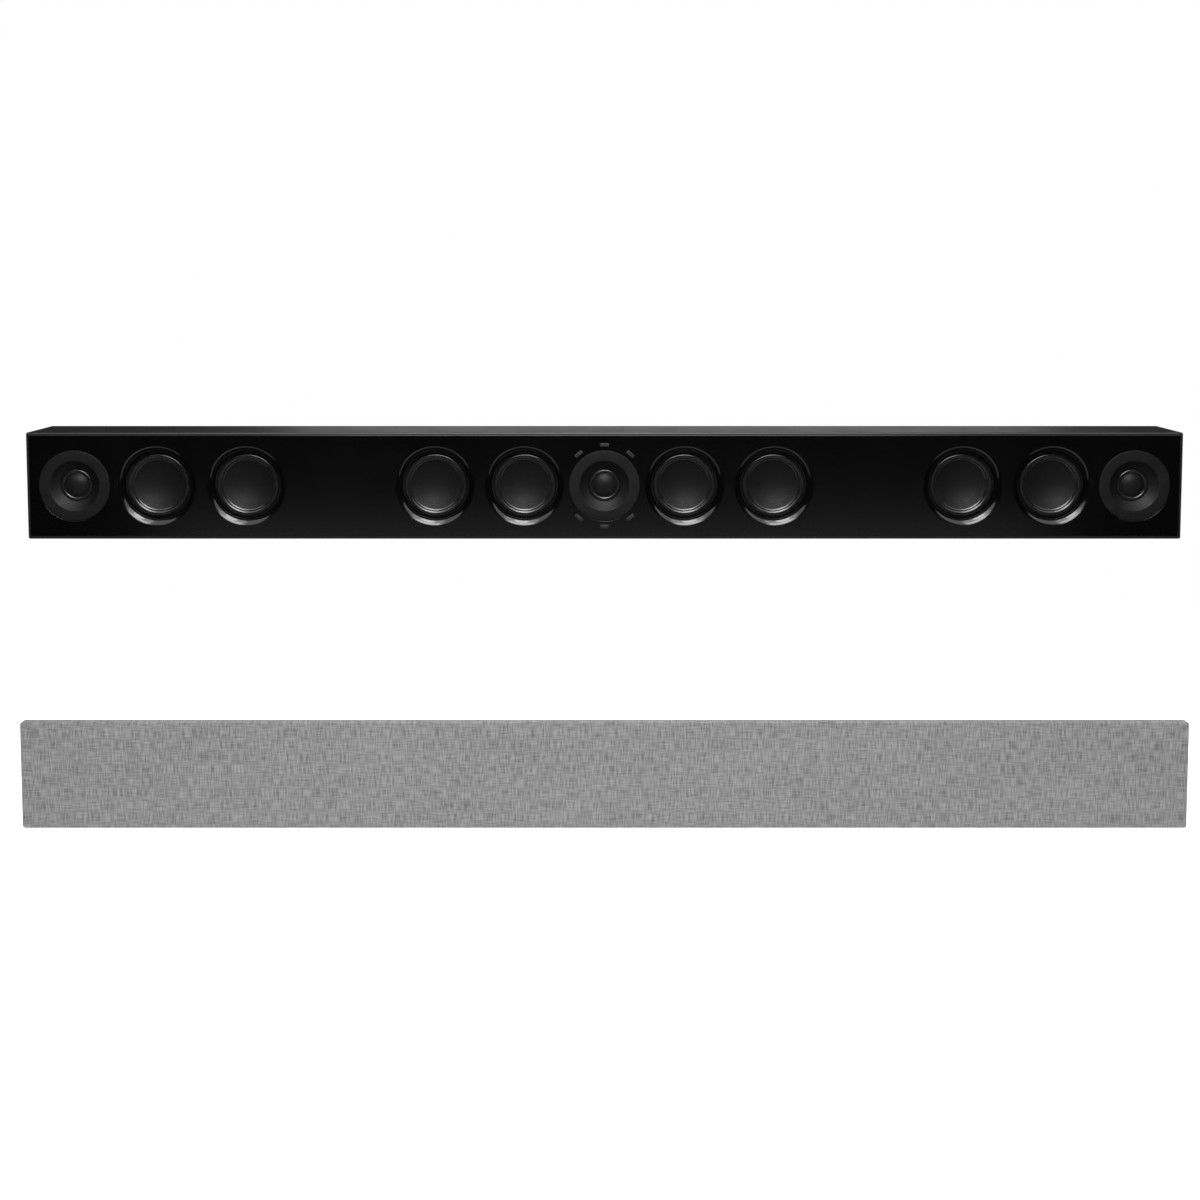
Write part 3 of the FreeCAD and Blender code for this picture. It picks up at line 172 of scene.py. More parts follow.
class Finish:
    """One node material. Its textures lie in object coordinates, with sizes in metres."""

    def __init__(self, name, colour, roughness, metallic=0.0, specular=0.5):
        self.material = bpy.data.materials.new("finish_" + name)
        self.material.use_nodes = True
        self.tree = self.material.node_tree
        self.shader = self.tree.nodes["Principled BSDF"]
        self.normal = None
        self.set("Base Color", (*colour, 1))
        self.set("Roughness", roughness)
        self.set("Metallic", metallic)
        self.set("Specular IOR Level", specular)
        self.places = self.tree.nodes.new("ShaderNodeTexCoord").outputs["Object"]

    def set(self, socket, value):
        self.shader.inputs[socket].default_value = value
        return self

    def link(self, output, socket):
        self.tree.links.new(output, socket)

    def node(self, kind, settings=None, **inputs):
        """A new node. Inputs are values or sockets, by name, or by number as n0, n1."""
        made = self.tree.nodes.new("ShaderNode" + kind)
        for key, value in (settings or {}).items():
            setattr(made, key, value)
        for key, value in inputs.items():
            numbered = key[0] == "n" and key[1:].isdigit()
            socket = made.inputs[int(key[1:]) if numbered else key]
            if hasattr(value, "links"):
                self.link(value, socket)
            else:
                socket.default_value = value
        return made

    def scaled(self, size):
        """The place divided by a size, or by one size for each axis."""
        sizes = size if hasattr(size, "__len__") else (size,) * 3
        scale = self.node("Mapping", Vector=self.places, Scale=[1 / s for s in sizes])
        return scale.outputs["Vector"]

    def noise(self, size, detail=2, warp=0.0):
        places = self.scaled(size)
        made = self.node("TexNoise", Vector=places, Scale=1.0, Detail=detail, Distortion=warp)
        return made.outputs[0]

    def cells(self, size):
        made = self.node("TexVoronoi", Vector=self.scaled(size), Scale=1.0)
        return made.outputs["Distance"]

    def maths(self, operation, one, two=0.0):
        made = self.node("Math", {"operation": operation}, n0=one, n1=two)
        return made.outputs[0]

    def spread(self, factor, low, high, start=0.3, end=0.7):
        """Maps a factor that runs from start to end onto low to high."""
        names = {"From Min": start, "From Max": end, "To Min": low, "To Max": high}
        made = self.node("MapRange", Value=factor, **names)
        return made.outputs[0]

    def tint(self, factor, dark, light, start=0.3, end=0.7):
        """Colours the surface from dark to light as the factor runs from start to end."""
        ramp = self.node("ValToRGB", Fac=factor)
        first, last = ramp.color_ramp.elements
        first.position, last.position = start, end
        first.color, last.color = (*dark, 1), (*light, 1)
        self.link(ramp.outputs["Color"], self.shader.inputs["Base Color"])
        return self

    def roughen(self, factor, low, high):
        """Varies the roughness from low to high with a factor."""
        self.link(self.spread(factor, low, high), self.shader.inputs["Roughness"])
        return self

    def bump(self, height, depth):
        """Adds relief: height is a factor from 0 to 1, depth its size in metres."""
        made = self.node("Bump", Height=height, Distance=depth)
        if self.normal is not None:
            self.link(self.normal, made.inputs["Normal"])
        self.normal = made.outputs["Normal"]
        self.link(self.normal, self.shader.inputs["Normal"])
        return self


def grey(level):
    """A near-black's grey, a touch cool."""
    return (level, level, level * 1.03)


def powder_coat():
    """The sleeve's fine matt paint."""
    made = Finish("powder_coat", grey(0.006), 0.44, specular=0.35)
    broad = made.noise(40 * MM, 2)
    fine = made.noise(0.5 * MM, 2)
    made.tint(broad, grey(0.0054), grey(0.0066))
    made.roughen(broad, 0.38, 0.46)
    return made.bump(fine, 0.028 * MM).bump(made.noise(2.4 * MM), 0.012 * MM)


def lacquer():
    """The baffle's smooth deep black."""
    made = Finish("lacquer", grey(0.0007), 0.14)
    broad = made.noise(60 * MM, 3)
    made.tint(broad, grey(0.0006), grey(0.0009))
    made.roughen(broad, 0.13, 0.15)
    return made.bump(made.noise(1.6 * MM), 0.0012 * MM)


def coated_cone():
    """Black pulp under a thin matt coating."""
    made = Finish("coated_cone", grey(0.003), 0.58, specular=0.2)
    pulp = made.noise((1.4 * MM, 3 * MM, 1.4 * MM), 4, 0.6)
    made.tint(pulp, grey(0.0022), grey(0.0036))
    made.roughen(made.noise(5 * MM, 3), 0.54, 0.62)
    return made.bump(pulp, 0.05 * MM).bump(made.noise(0.3 * MM), 0.02 * MM)


def rubber(name, level, roughness=0.5, specular=0.4):
    """Soft rubber, slightly cloudy."""
    made = Finish(name, grey(level), roughness, specular=specular)
    cloudy = made.noise(6 * MM, 4)
    made.tint(cloudy, grey(level * 0.8), grey(level * 1.2))
    made.roughen(cloudy, roughness - 0.05, roughness + 0.06)
    return made.bump(made.noise(1.2 * MM, 3), 0.008 * MM)


def moulded(name, level, roughness=0.5, grain=0.35, tone=None, specular=0.5):
    """Moulded plastic with a fine spark-eroded texture."""
    colour = tone or grey(level)
    made = Finish(name, colour, roughness, specular=specular)
    cloudy = made.noise(15 * MM, 3)
    made.tint(cloudy, [c * 0.88 for c in colour], [c * 1.12 for c in colour])
    made.roughen(cloudy, roughness - 0.05, roughness + 0.05)
    made.bump(made.cells(grain * MM), 0.012 * MM)
    return made.bump(made.noise(grain * 3 * MM), 0.01 * MM)


def dome_cloth():
    """The tweeter domes' coated weave."""
    made = Finish("dome_cloth", grey(0.004), 0.45, specular=0.17)
    threads = weave_height(made, made.places, 0.45 * MM, ("X", "Z"))
    made.tint(threads, grey(0.0025), grey(0.0065), 0.0, 1.0)
    made.roughen(made.noise(2 * MM, 3), 0.36, 0.50)
    return made.bump(threads, 0.03 * MM)


def weave_height(made, places, pitch, axes):
    """A plain weave's height, as a factor from 0 to 1: threads pass over and under each other."""
    apart = made.node("SeparateXYZ", Vector=places)
    turns = math.pi / pitch
    along = [made.maths("MULTIPLY", apart.outputs[axis], turns) for axis in axes]
    one, two = (made.maths("SINE", angle) for angle in along)
    over = made.maths("MULTIPLY", one, two)
    crown = made.maths("MULTIPLY", made.maths("ABSOLUTE", one), made.maths("ABSOLUTE", two))
    both = made.maths("ADD", made.maths("MULTIPLY", over, 0.35), made.maths("MULTIPLY", crown, 0.5))
    return made.maths("ADD", both, 0.3)


def metal(name, colour, roughness, brush=(8, 0.12, 0.12)):
    """Metal with fine scratches that run along one axis."""
    made = Finish(name, colour, roughness, metallic=1.0)
    lines = made.noise([b * MM for b in brush], 3)
    made.tint(made.noise(20 * MM, 3), [c * 0.9 for c in colour], [min(1, c * 1.08) for c in colour])
    made.roughen(lines, roughness - 0.06, roughness + 0.1)
    return made.bump(lines, 0.004 * MM)


def board_wood():
    """Raw fibreboard of the inner dividers."""
    made = Finish("board_wood", (0.36, 0.25, 0.15), 0.8)
    fibres = made.noise((1.5 * MM, 6 * MM, 1.5 * MM), 5, 0.8)
    made.tint(fibres, (0.26, 0.17, 0.10), (0.42, 0.30, 0.19))
    return made.bump(fibres, 0.1 * MM)


def felt():
    """Damping felt."""
    made = Finish("felt", (0.45, 0.45, 0.43), 0.95)
    hairs = made.noise((1.2 * MM, 1.2 * MM, 4 * MM), 6, 1.5)
    made.tint(hairs, (0.32, 0.32, 0.31), (0.55, 0.55, 0.53))
    made.set("Sheen Weight", 0.4)
    return made.bump(hairs, 0.6 * MM)


def winding():
    """Lacquered copper wire, wound in close turns."""
    made = Finish("winding", (0.55, 0.24, 0.09), 0.28, metallic=0.9)
    wave = {"Vector": made.places, "Scale": 1 / (2.2 * MM), "Distortion": 0.6}
    turns = made.node("TexWave", {"bands_direction": "Y"}, **wave)
    height = turns.outputs["Fac"]
    made.tint(height, (0.30, 0.12, 0.04), (0.66, 0.32, 0.13), 0.0, 1.0)
    return made.bump(height, 0.2 * MM)


def laminate():
    """A green circuit board with its tracks."""
    made = Finish("laminate", (0.02, 0.10, 0.045), 0.35)
    tracks = made.node("TexBrick", {"offset": 0.5}, Vector=made.scaled(9 * MM), Scale=1.0)
    height = made.maths("SUBTRACT", 1.0, tracks.outputs["Fac"])
    made.tint(height, (0.05, 0.17, 0.07), (0.015, 0.08, 0.035), 0.0, 1.0)
    return made.bump(height, 0.03 * MM)


def grille_weave():
    """Grey acoustic cloth: a plain weave of uneven threads, laid out on the flat sheet."""
    made = Finish("grille_weave", grey(0.26), 0.9, specular=0.2)
    flat = made.node("Attribute", {"attribute_name": FLAT_PLACE}).outputs["Vector"]
    made.places = flat
    threads = weave_height(made, flat, 1.1 * MM, ("X", "Z"))
    upright = made.noise((1.3 * MM, 1, 13 * MM), 0)
    level = made.noise((14 * MM, 1, 1.3 * MM), 0)
    cloudy = made.noise((90 * MM, 1, 50 * MM), 3)
    slubs = made.maths("MULTIPLY", upright, 0.54)
    slubs = made.maths("ADD", slubs, made.maths("MULTIPLY", level, 0.36))
    shade = made.maths("ADD", slubs, made.maths("MULTIPLY", cloudy, 0.12))
    shade = made.maths("ADD", shade, made.maths("MULTIPLY", threads, 0.06))
    made.tint(shade, (0.084,) * 3, (0.204,) * 3, 0.33, 0.71)
    made.set("Sheen Weight", 0.15)
    return made.bump(threads, 0.12 * MM).bump(slubs, 0.15 * MM)


finishes = {
    "sleeve": powder_coat(),
    "baffle": lacquer(),
    "cone": coated_cone(),
    "surround": rubber("surround_rubber", 0.006, 0.20, 0.6),
    "spider": moulded("spider_cloth", 0, 0.85, 0.6, (0.36, 0.24, 0.10)),
    "basket": moulded("basket_paint", 0.03, 0.4, 0.5),
    "motor_steel": metal("zinc_steel", (0.55, 0.55, 0.56), 0.35),
    "ferrite": moulded("ferrite", 0.07, 0.6, 0.4),
    "faceplate": moulded("faceplate_plastic", 0.0026, 0.55, 0.30, specular=0.22),
    "dome": dome_cloth(),
    "mark": rubber("mark_rubber", 0.007, 0.55),
    "screw": metal("black_zinc", (0.06, 0.06, 0.065), 0.38, (0.5, 0.5, 0.5)),
    "magnet": metal("nickel", (0.62, 0.60, 0.57), 0.2, (3, 3, 0.1)),
    "divider": board_wood(),
    "felt": felt(),
    "cup": moulded("cup_plastic", 0.014, 0.45, 0.4),
    "cap_red": moulded("red_plastic", 0, 0.25, 0.8, CAP_RED),
    "cap_black": moulded("black_plastic", 0.012, 0.25, 0.8),
    "post": metal("gilt", (0.80, 0.60, 0.28), 0.22, (0.2, 4, 0.2)),
    "spring": metal("spring_steel", (0.6, 0.6, 0.6), 0.3),
    "gasket": rubber("gasket_foam", 0.02, 0.85),
    "plate": metal("plated_steel", (0.52, 0.52, 0.54), 0.32),
    "pad": rubber("pad_rubber", 0.018, 0.75),
    "board": laminate(),
    "standoff": moulded("nylon", 0, 0.5, 0.6, (0.72, 0.71, 0.67)),
    "choke": winding(),
    "can": moulded("can_sleeve", 0, 0.3, 1.0, (0.03, 0.04, 0.08)),
    "resistor": moulded("cement", 0, 0.8, 0.5, (0.68, 0.65, 0.58)),
    "wire": moulded("insulation", 0, 0.45, 1.0, (0.20, 0.015, 0.015)),
    "grille_frame": moulded("frame_plastic", 0.016, 0.5, 0.5),
    "grille_cloth": grille_weave(),
}
finishes = {slot: made.material for slot, made in finishes.items()}


def dress_nodes():
    """Gives every CAD node the finish of its slot."""
    for part in frame["record"]["subparts"]:
        for holder in frame["nodes"][part["node"]].material_slots:
            holder.material = finishes[part["material_slot"]]


# ---- baffle ----

FLARE_THROAT = 35.1
FLARE_DEPTH = 10
FLARE_BOW = 10.6
PLATE_RADIUS = 37.9
PLATE_DEPTH = 4
SHELL_RADIUS = 30
BOARD_DEPTH = 12
FIT_GAP = 0.2
RECESS_EDGE = 0.25
BOARD_EDGE = 0.3 * MM


def woofer_opening():
    """Profile from the mouth's edge, round the flare, to the back of the board."""
    centre = (FLARE_THROAT + FLARE_BOW, FLARE_DEPTH)
    first = 180 + math.degrees(math.asin(FLARE_DEPTH / FLARE_BOW))
    return arc(centre, FLARE_BOW, first, 180, steps=20) + [(FLARE_THROAT, BOARD_DEPTH)]


def tweeter_opening():
    """Profile of a stepped hole that the faceplate and the shell behind it drop into."""
    wide, narrow = PLATE_RADIUS + FIT_GAP, SHELL_RADIUS + FIT_GAP
    edge = arc((wide + RECESS_EDGE, RECESS_EDGE), RECESS_EDGE, 270, 180, steps=4)
    return edge + [(wide, PLATE_DEPTH), (narrow, PLATE_DEPTH), (narrow, BOARD_DEPTH)]


def closed_loop(shaped, points):
    """New corners and the edges that close them into a loop."""
    verts = [shaped.verts.new(p) for p in points]
    return verts, [shaped.edges.new(pair) for pair in zip(verts, verts[1:] + verts[:1])]


def joined(shaped, loops):
    """Adds the wall that runs from each loop to the next."""
    for (one, _), (two, _) in zip(loops, loops[1:]):
        for k in range(len(one)):
            shaped.faces.new((one[k - 1], one[k], two[k], two[k - 1]))
    return loops


def board_sides(shaped, low, high):
    """The board's outline at each depth, with its front edge softened."""
    loops = []
    steps = ((BOARD_EDGE, low.y), (BOARD_EDGE / 3, low.y + BOARD_EDGE / 3),
             (0, low.y + BOARD_EDGE), (0, high.y))
    for inset, y in steps:
        x, z = high.x - inset, high.z - inset
        loops.append(closed_loop(shaped, [(-x, y, -z), (x, y, -z), (x, y, z), (-x, y, z)]))
    return joined(shaped, loops)


def opening_rings(shaped, middle, outline):
    """A turned hole's rings, from the front of the board to its back."""
    turns = [2 * math.pi * k / ROUND for k in range(ROUND)]
    loops = []
    for radius, depth in outline:
        reach, y = radius * MM, FRONT + depth * MM
        ring = [(middle.x + reach * math.cos(a), y, middle.z + reach * math.sin(a)) for a in turns]
        loops.append(closed_loop(shaped, ring))
    return joined(shaped, loops)


def baffle_board():
    """The lacquered panel, flat between its openings, each with a turned wall."""
    shaped = bmesh.new()
    walls = [board_sides(shaped, *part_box("front_baffle"))]
    holes = [(middle_of(f"woofer_{n}_cone"), woofer_opening()) for n in WOOFERS]
    holes += [(middle_of(f"tweeter_{side}_faceplate"), tweeter_opening()) for side in TWEETERS]
    walls += [opening_rings(shaped, middle, outline) for middle, outline in holes]
    for end in (0, -1):
        edges = [edge for loops in walls for edge in loops[end][1]]
        bmesh.ops.triangle_fill(shaped, use_beauty=True, use_dissolve=False, edges=edges)
    bmesh.ops.recalc_face_normals(shaped, faces=shaped.faces)
    mesh = bpy.data.meshes.new("baffle_board")
    shaped.to_mesh(mesh)
    shaped.free()
    made = finish_mesh("baffle_board", mesh, sharp=8)
    stand_in(made, "enclosure", "baffle", "front_baffle")


MARK_ANGLES = (51, 90, 129, 231, 270, 309)
MARK_CIRCLE = 43.7
MARK_LENGTH = 9.5
MARK_WIDTH = 3.8
MARK_RISE = 0.6
MARK_CORNER = 0.5
MARK_LAYERS = ((0, 0), (0, MARK_RISE * 0.55), (0.12, MARK_RISE * 0.85), (0.35, MARK_RISE))


def index_marks():
    """Six soft-edged bars round the middle tweeter."""
    points, faces = [], []
    half_l, half_w = MARK_LENGTH / 2, MARK_WIDTH / 2
    for angle in MARK_ANGLES:
        turn = math.radians(angle - 90)
        start = len(points)
        for inset, rise in MARK_LAYERS:
            for x, z in rounded_outline(half_l - inset, half_w - inset, MARK_CORNER):
                out = MARK_CIRCLE + z
                side_x = x * math.cos(turn) - out * math.sin(turn)
                side_z = x * math.sin(turn) + out * math.cos(turn)
                points.append((side_x * MM, FRONT - rise * MM, side_z * MM))
        count = (len(points) - start) // len(MARK_LAYERS)
        for layer in range(len(MARK_LAYERS) - 1):
            for k in range(count):
                a, b = start + layer * count + k, start + layer * count + (k + 1) % count
                faces.append((a, b, b + count, a + count))
        faces.append(tuple(range(start, start + count)))
        top = start + (len(MARK_LAYERS) - 1) * count
        faces.append(tuple(range(top, top + count)))
    made = mesh_object("index_marks", points, faces, sharp=40)
    stand_in(made, "enclosure", "mark", "centre_index_marks")


def rounded_outline(half_x, half_z, radius, steps=4):
    """A rectangle with rounded corners, as points in order round it."""
    points = []
    for quarter, (sx, sz) in enumerate(((1, 1), (-1, 1), (-1, -1), (1, -1))):
        for k in range(steps + 1):
            a = math.radians(90 * (quarter + k / steps))
            x = sx * (half_x - radius) + radius * math.cos(a)
            z = sz * (half_z - radius) + radius * math.sin(a)
            points.append((x, z))
    return points


# ---- woofers ----

CONE_RADIUS = 27.7
CONE_RIM_DEPTH = 11.2
CONE_BOTTOM_DEPTH = 20.2
CONE_SKIN = 0.8
FORMER_RADII = (12.3, 12.9)
FORMER_OUTSIDE = CONE_BOTTOM_DEPTH - 1.1
FORMER_INSIDE = CONE_BOTTOM_DEPTH - 1.0
FORMER_END = 41
ROLL_RADII = (28.0, 34.1)
ROLL_BOW = 3.15
ROLL_BASE = 11.4
ROLL_SKIN = 0.5
LIP_RADIUS = 34.9
GLUE_LIP = [(26.45, 12.03), (26.55, 11.72), (27.55, 10.95), (27.85, 10.9)]
GLUE_HEEL = [(27.85, 11.5), (27.6, 11.22)]
BEADS = (20.6, 22.9, 25.2)
BEAD_HALF = 0.55
BEAD_RISE = 0.16


def beaded(outline):
    """Raises fine round beads on a cone's outer band."""
    made = []
    for radius, depth in outline:
        rise = 0
        for bead in BEADS:
            off = abs(radius - bead) / BEAD_HALF
            rise += BEAD_RISE * (0.5 + 0.5 * math.cos(math.pi * off)) if off < 1 else 0
        made.append((radius, depth - rise))
    return made


def woofer_cone(number):
    """The dished cone and its former."""
    inner, outer = FORMER_RADII
    rim_back, bottom_back = CONE_RIM_DEPTH + CONE_SKIN, CONE_BOTTOM_DEPTH + CONE_SKIN
    front = beaded(sphere_zone(0, CONE_RADIUS, CONE_BOTTOM_DEPTH, CONE_RIM_DEPTH, steps=130))
    back = sphere_zone(outer, CONE_RADIUS - 0.1, FORMER_OUTSIDE, rim_back, steps=12)
    former = [(outer, FORMER_END), (inner, FORMER_END), (inner, FORMER_INSIDE)]
    bottom = sphere_zone(0, inner, bottom_back, FORMER_INSIDE, steps=6)
    outline = front + list(reversed(back)) + former + list(reversed(bottom))[1:]
    place = middle_of(f"woofer_{number}_cone")
    made = lathe(f"woofer_{number}_dish", outline, (place.x, FRONT, place.z), sharp=30)
    stand_in(made, f"woofer_{number}", "cone", f"woofer_{number}_cone")


def half_roll(inner, outer, bow, base, steps):
    """Profile of a half roll of radius bow, that bulges forwards between two radii."""
    centre = ((inner + outer) / 2, base + math.sqrt(bow**2 - ((outer - inner) / 2) ** 2))
    lean = math.degrees(math.acos((outer - inner) / 2 / bow))
    return arc(centre, bow, 180 + lean, 360 - lean, steps)


def woofer_surround(number):
    """Rubber roll with a lip bonded to the cone's rim, and a flat outer lip on the basket."""
    over = half_roll(*ROLL_RADII, ROLL_BOW, ROLL_BASE, steps=24)[1:]
    inner, outer = ROLL_RADII[0] + ROLL_SKIN, ROLL_RADII[1] - ROLL_SKIN
    outside = [(LIP_RADIUS, ROLL_BASE), (LIP_RADIUS, BOARD_DEPTH), (outer, BOARD_DEPTH)]
    under = half_roll(inner, outer, ROLL_BOW - ROLL_SKIN, ROLL_BASE, steps=16)
    outline = GLUE_LIP + over + outside + list(reversed(under)) + GLUE_HEEL
    place = middle_of(f"woofer_{number}_cone")
    made = lathe(f"woofer_{number}_roll", outline, (place.x, FRONT, place.z), sharp=30)
    bend(made)
    dress(made, "surround", "woofer_surrounds")


def bend(made):
    """Bakes a roll's place into its mesh."""
    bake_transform(made)


# ---- tweeters ----

GUIDE_RADII = (18.8, 26.6)
GUIDE_DEPTH = 8
BROW = ((-0.35, 0.36), (-0.1, 0.16), (0.25, 0.03), (0.7, 0.0))
PLATE_EDGE = 0.9
LEDGE = (17.2, 9)
LEDGE_EDGE = 0.2
SEAT_DEPTH = 10.4
COIL_HOLE = 13.4
DOME_RADIUS = 12.7
DOME_APEX_DEPTH = 5.0
DOME_RIM_DEPTH = 9.4
DOME_SKIN = 0.3
RIM_THICKNESS = 0.5
COIL_RADII = (12.2, 12.6)
COIL_END = 17
DOME_ROLL_RADII = (13.0, 17.0)
DOME_ROLL_BOW = 2.1
DOME_ROLL_SKIN = 0.25
DOME_LIP = 0.28
SKIRT = 0.3
SKIRT_DEPTH = 0.9


def tweeter_plate(side):
    """Faceplate with a softened rim, a shallow waveguide and a ledge round the dome."""
    inner, outer = GUIDE_RADII
    brow = [(outer + out, depth) for out, depth in BROW]
    guide = sphere_zone(inner, brow[0][0], GUIDE_DEPTH, brow[0][1], steps=20)
    rim = arc((PLATE_RADIUS - PLATE_EDGE, PLATE_EDGE), PLATE_EDGE, 270, 360, steps=8)
    back = [(PLATE_RADIUS, PLATE_DEPTH), (SHELL_RADIUS, PLATE_DEPTH)]
    back += [(SHELL_RADIUS, BOARD_DEPTH), (COIL_HOLE, BOARD_DEPTH)]
    ledge, ledge_depth = LEDGE
    seat = [(COIL_HOLE, SEAT_DEPTH), (ledge, SEAT_DEPTH)]
    seat += [(ledge, ledge_depth + LEDGE_EDGE), (ledge + LEDGE_EDGE, ledge_depth)]
    outline = guide + brow[1:] + rim + back + seat
    name = f"tweeter_{side}_faceplate"
    place = middle_of(name)
    made = lathe(f"tweeter_{side}_plate", outline, (place.x, FRONT, place.z))
    stand_in(made, "enclosure", "faceplate", name)


def tweeter_dome(side):
    """Soft dome with its rim and coil former."""
    front = sphere_zone(0, DOME_RADIUS, DOME_APEX_DEPTH, DOME_RIM_DEPTH, steps=40)
    rim_back = DOME_RIM_DEPTH + RIM_THICKNESS
    inner, outer = COIL_RADII
    rim = [(DOME_RADIUS, rim_back), (outer, rim_back), (outer, COIL_END), (inner, COIL_END)]
    back = sphere_zone(0, inner, DOME_APEX_DEPTH + DOME_SKIN, DOME_RIM_DEPTH + 0.2, steps=12)
    outline = front + rim + list(reversed(back))
    name = f"tweeter_{side}_dome"
    place = middle_of(name)
    made = lathe(f"tweeter_{side}_cap", outline, (place.x, FRONT, place.z), segments=SMALL_ROUND)
    stand_in(made, f"tweeter_{side}", "dome", name)


def tweeter_surround(side):
    """Small roll between a dome's rim and the ledge of its faceplate."""
    first, last = DOME_ROLL_RADII
    over = half_roll(first, last, DOME_ROLL_BOW, DOME_RIM_DEPTH, steps=20)
    skirt = [(last, DOME_RIM_DEPTH + SKIRT_DEPTH), (last - SKIRT, DOME_RIM_DEPTH + SKIRT_DEPTH)]
    bow = DOME_ROLL_BOW - DOME_ROLL_SKIN
    under = half_roll(first + 0.2, last - SKIRT, bow, DOME_RIM_DEPTH + 0.2, steps=12)
    lip = first - DOME_LIP
    inner = [(lip, DOME_RIM_DEPTH + DOME_ROLL_SKIN), (lip, DOME_RIM_DEPTH)]
    outline = over + skirt + list(reversed(under)) + inner
    place = middle_of(f"tweeter_{side}_dome")
    spot = (place.x, FRONT, place.z)
    made = lathe(f"tweeter_{side}_roll", outline, spot, segments=SMALL_ROUND)
    bend(made)
    dress(made, "surround", "tweeter_surrounds")


# ---- terminals ----

CAP_FRONT = 4
CAP_END = 17
CAP_RADIUS = 6
CAP_EDGE = 1
CAP_BORE = 2.35
CAP_HOLLOW = (5.2, 12)
FLUTES = 24
FLUTE_DEPTH = 0.4
FLUTED = (1.9, 6.9)
DISH = ((0, 0.9), (0.35, 0.55), (1.55, 0.35), (1.95, 0.05), (2.25, 0))
GRIP = (1.6, 2.0, 2.4, 6.4, 6.8, 7.2)


def push_cap(number):
    """A push terminal's cap, seen from the back: dished top, rounded edge and fluted grip."""
    top = [(CAP_BORE + out, CAP_FRONT + down) for out, down in DISH]
    shoulder = arc((CAP_RADIUS - CAP_EDGE, CAP_FRONT + CAP_EDGE), CAP_EDGE, 270, 360, steps=8)
    grip = [(CAP_RADIUS, CAP_FRONT + down) for down in GRIP]
    tail = [(CAP_RADIUS, CAP_END), (CAP_HOLLOW[0], CAP_END), CAP_HOLLOW, (CAP_BORE, CAP_HOLLOW[1])]
    name = f"terminal_cap_{number}"
    place = middle_of(name)
    outline = top + shoulder + grip + tail
    made = lathe(f"push_cap_{number}_button", outline, (place.x, 0, place.z), -1, 4 * FLUTES)
    for v in made.data.vertices:
        radius = math.hypot(v.co.x, v.co.z)
        depth = -v.co.y / MM - CAP_FRONT
        if radius > (CAP_RADIUS - 0.01) * MM and FLUTED[0] < depth < FLUTED[1]:
            turn = math.atan2(v.co.z, v.co.x)
            cut = FLUTE_DEPTH * MM * (0.5 - 0.5 * math.cos(FLUTES * turn))
            shrink = 1 - cut / radius
            v.co.x *= shrink
            v.co.z *= shrink
    slot = "cap_red" if number % 2 else "cap_black"
    stand_in(made, f"push_cap_{number}", slot, name)


# ---- grille ----

CORNER = 3 * MM
EDGE_SOFT = 1.2 * MM
HEM = 9 * MM
GRID_INSET = 12 * MM
THREAD_STEP = 5 * MM
CORNER_STEPS = 5
EDGE_STEPS = 4


def sheet_rim(half, xs, zs, inset):
    """Points round the sheet, inset from its outline: each side's row, then the next corner."""
    radius = max(CORNER - inset, 0.2 * MM)
    x, z = half.x - inset, half.z - inset
    corner = [math.radians(90 * k / CORNER_STEPS) for k in range(CORNER_STEPS + 1)]
    turned = [(radius * math.sin(a), radius * math.cos(a)) for a in corner]
    points = [(px, z) for px in xs]
    points += [(x - radius + a, z - radius + b) for a, b in turned]
    points += [(x, pz) for pz in zs[::-1]]
    points += [(x - radius + b, -z + radius - a) for a, b in turned]
    points += [(px, -z) for px in xs[::-1]]
    points += [(-x + radius - a, -z + radius - b) for a, b in turned]
    points += [(-x, pz) for pz in zs]
    points += [(-x + radius - b, z - radius + a) for a, b in turned]
    return points


def sheet_rows(front, back):
    """Rows of (inset, depth, way along the flat sheet past the front's edge) out to the hem."""
    quarter = [math.radians(90 * k / EDGE_STEPS) for k in range(EDGE_STEPS + 1)]
    side = back - front - 2 * EDGE_SOFT
    bend_length = EDGE_SOFT * math.pi / 2
    rows = [(6 * MM, front, -6 * MM), (2.5 * MM, front, -2.5 * MM)]
    for a in quarter:
        inset, down = EDGE_SOFT * (1 - math.sin(a)), EDGE_SOFT * (1 - math.cos(a))
        rows.append((inset, front + down, a / quarter[-1] * bend_length - EDGE_SOFT))
    passed = bend_length - EDGE_SOFT + side
    rows.append((0, (front + back) / 2, passed - side / 2))
    for a in quarter:
        inset, up = EDGE_SOFT * (1 - math.cos(a)), EDGE_SOFT * (1 - math.sin(a))
        rows.append((inset, back - up, passed + a / quarter[-1] * bend_length))
    passed += bend_length
    rows += [(hem, back, passed + hem - EDGE_SOFT) for hem in (HEM / 2, HEM)]
    return rows


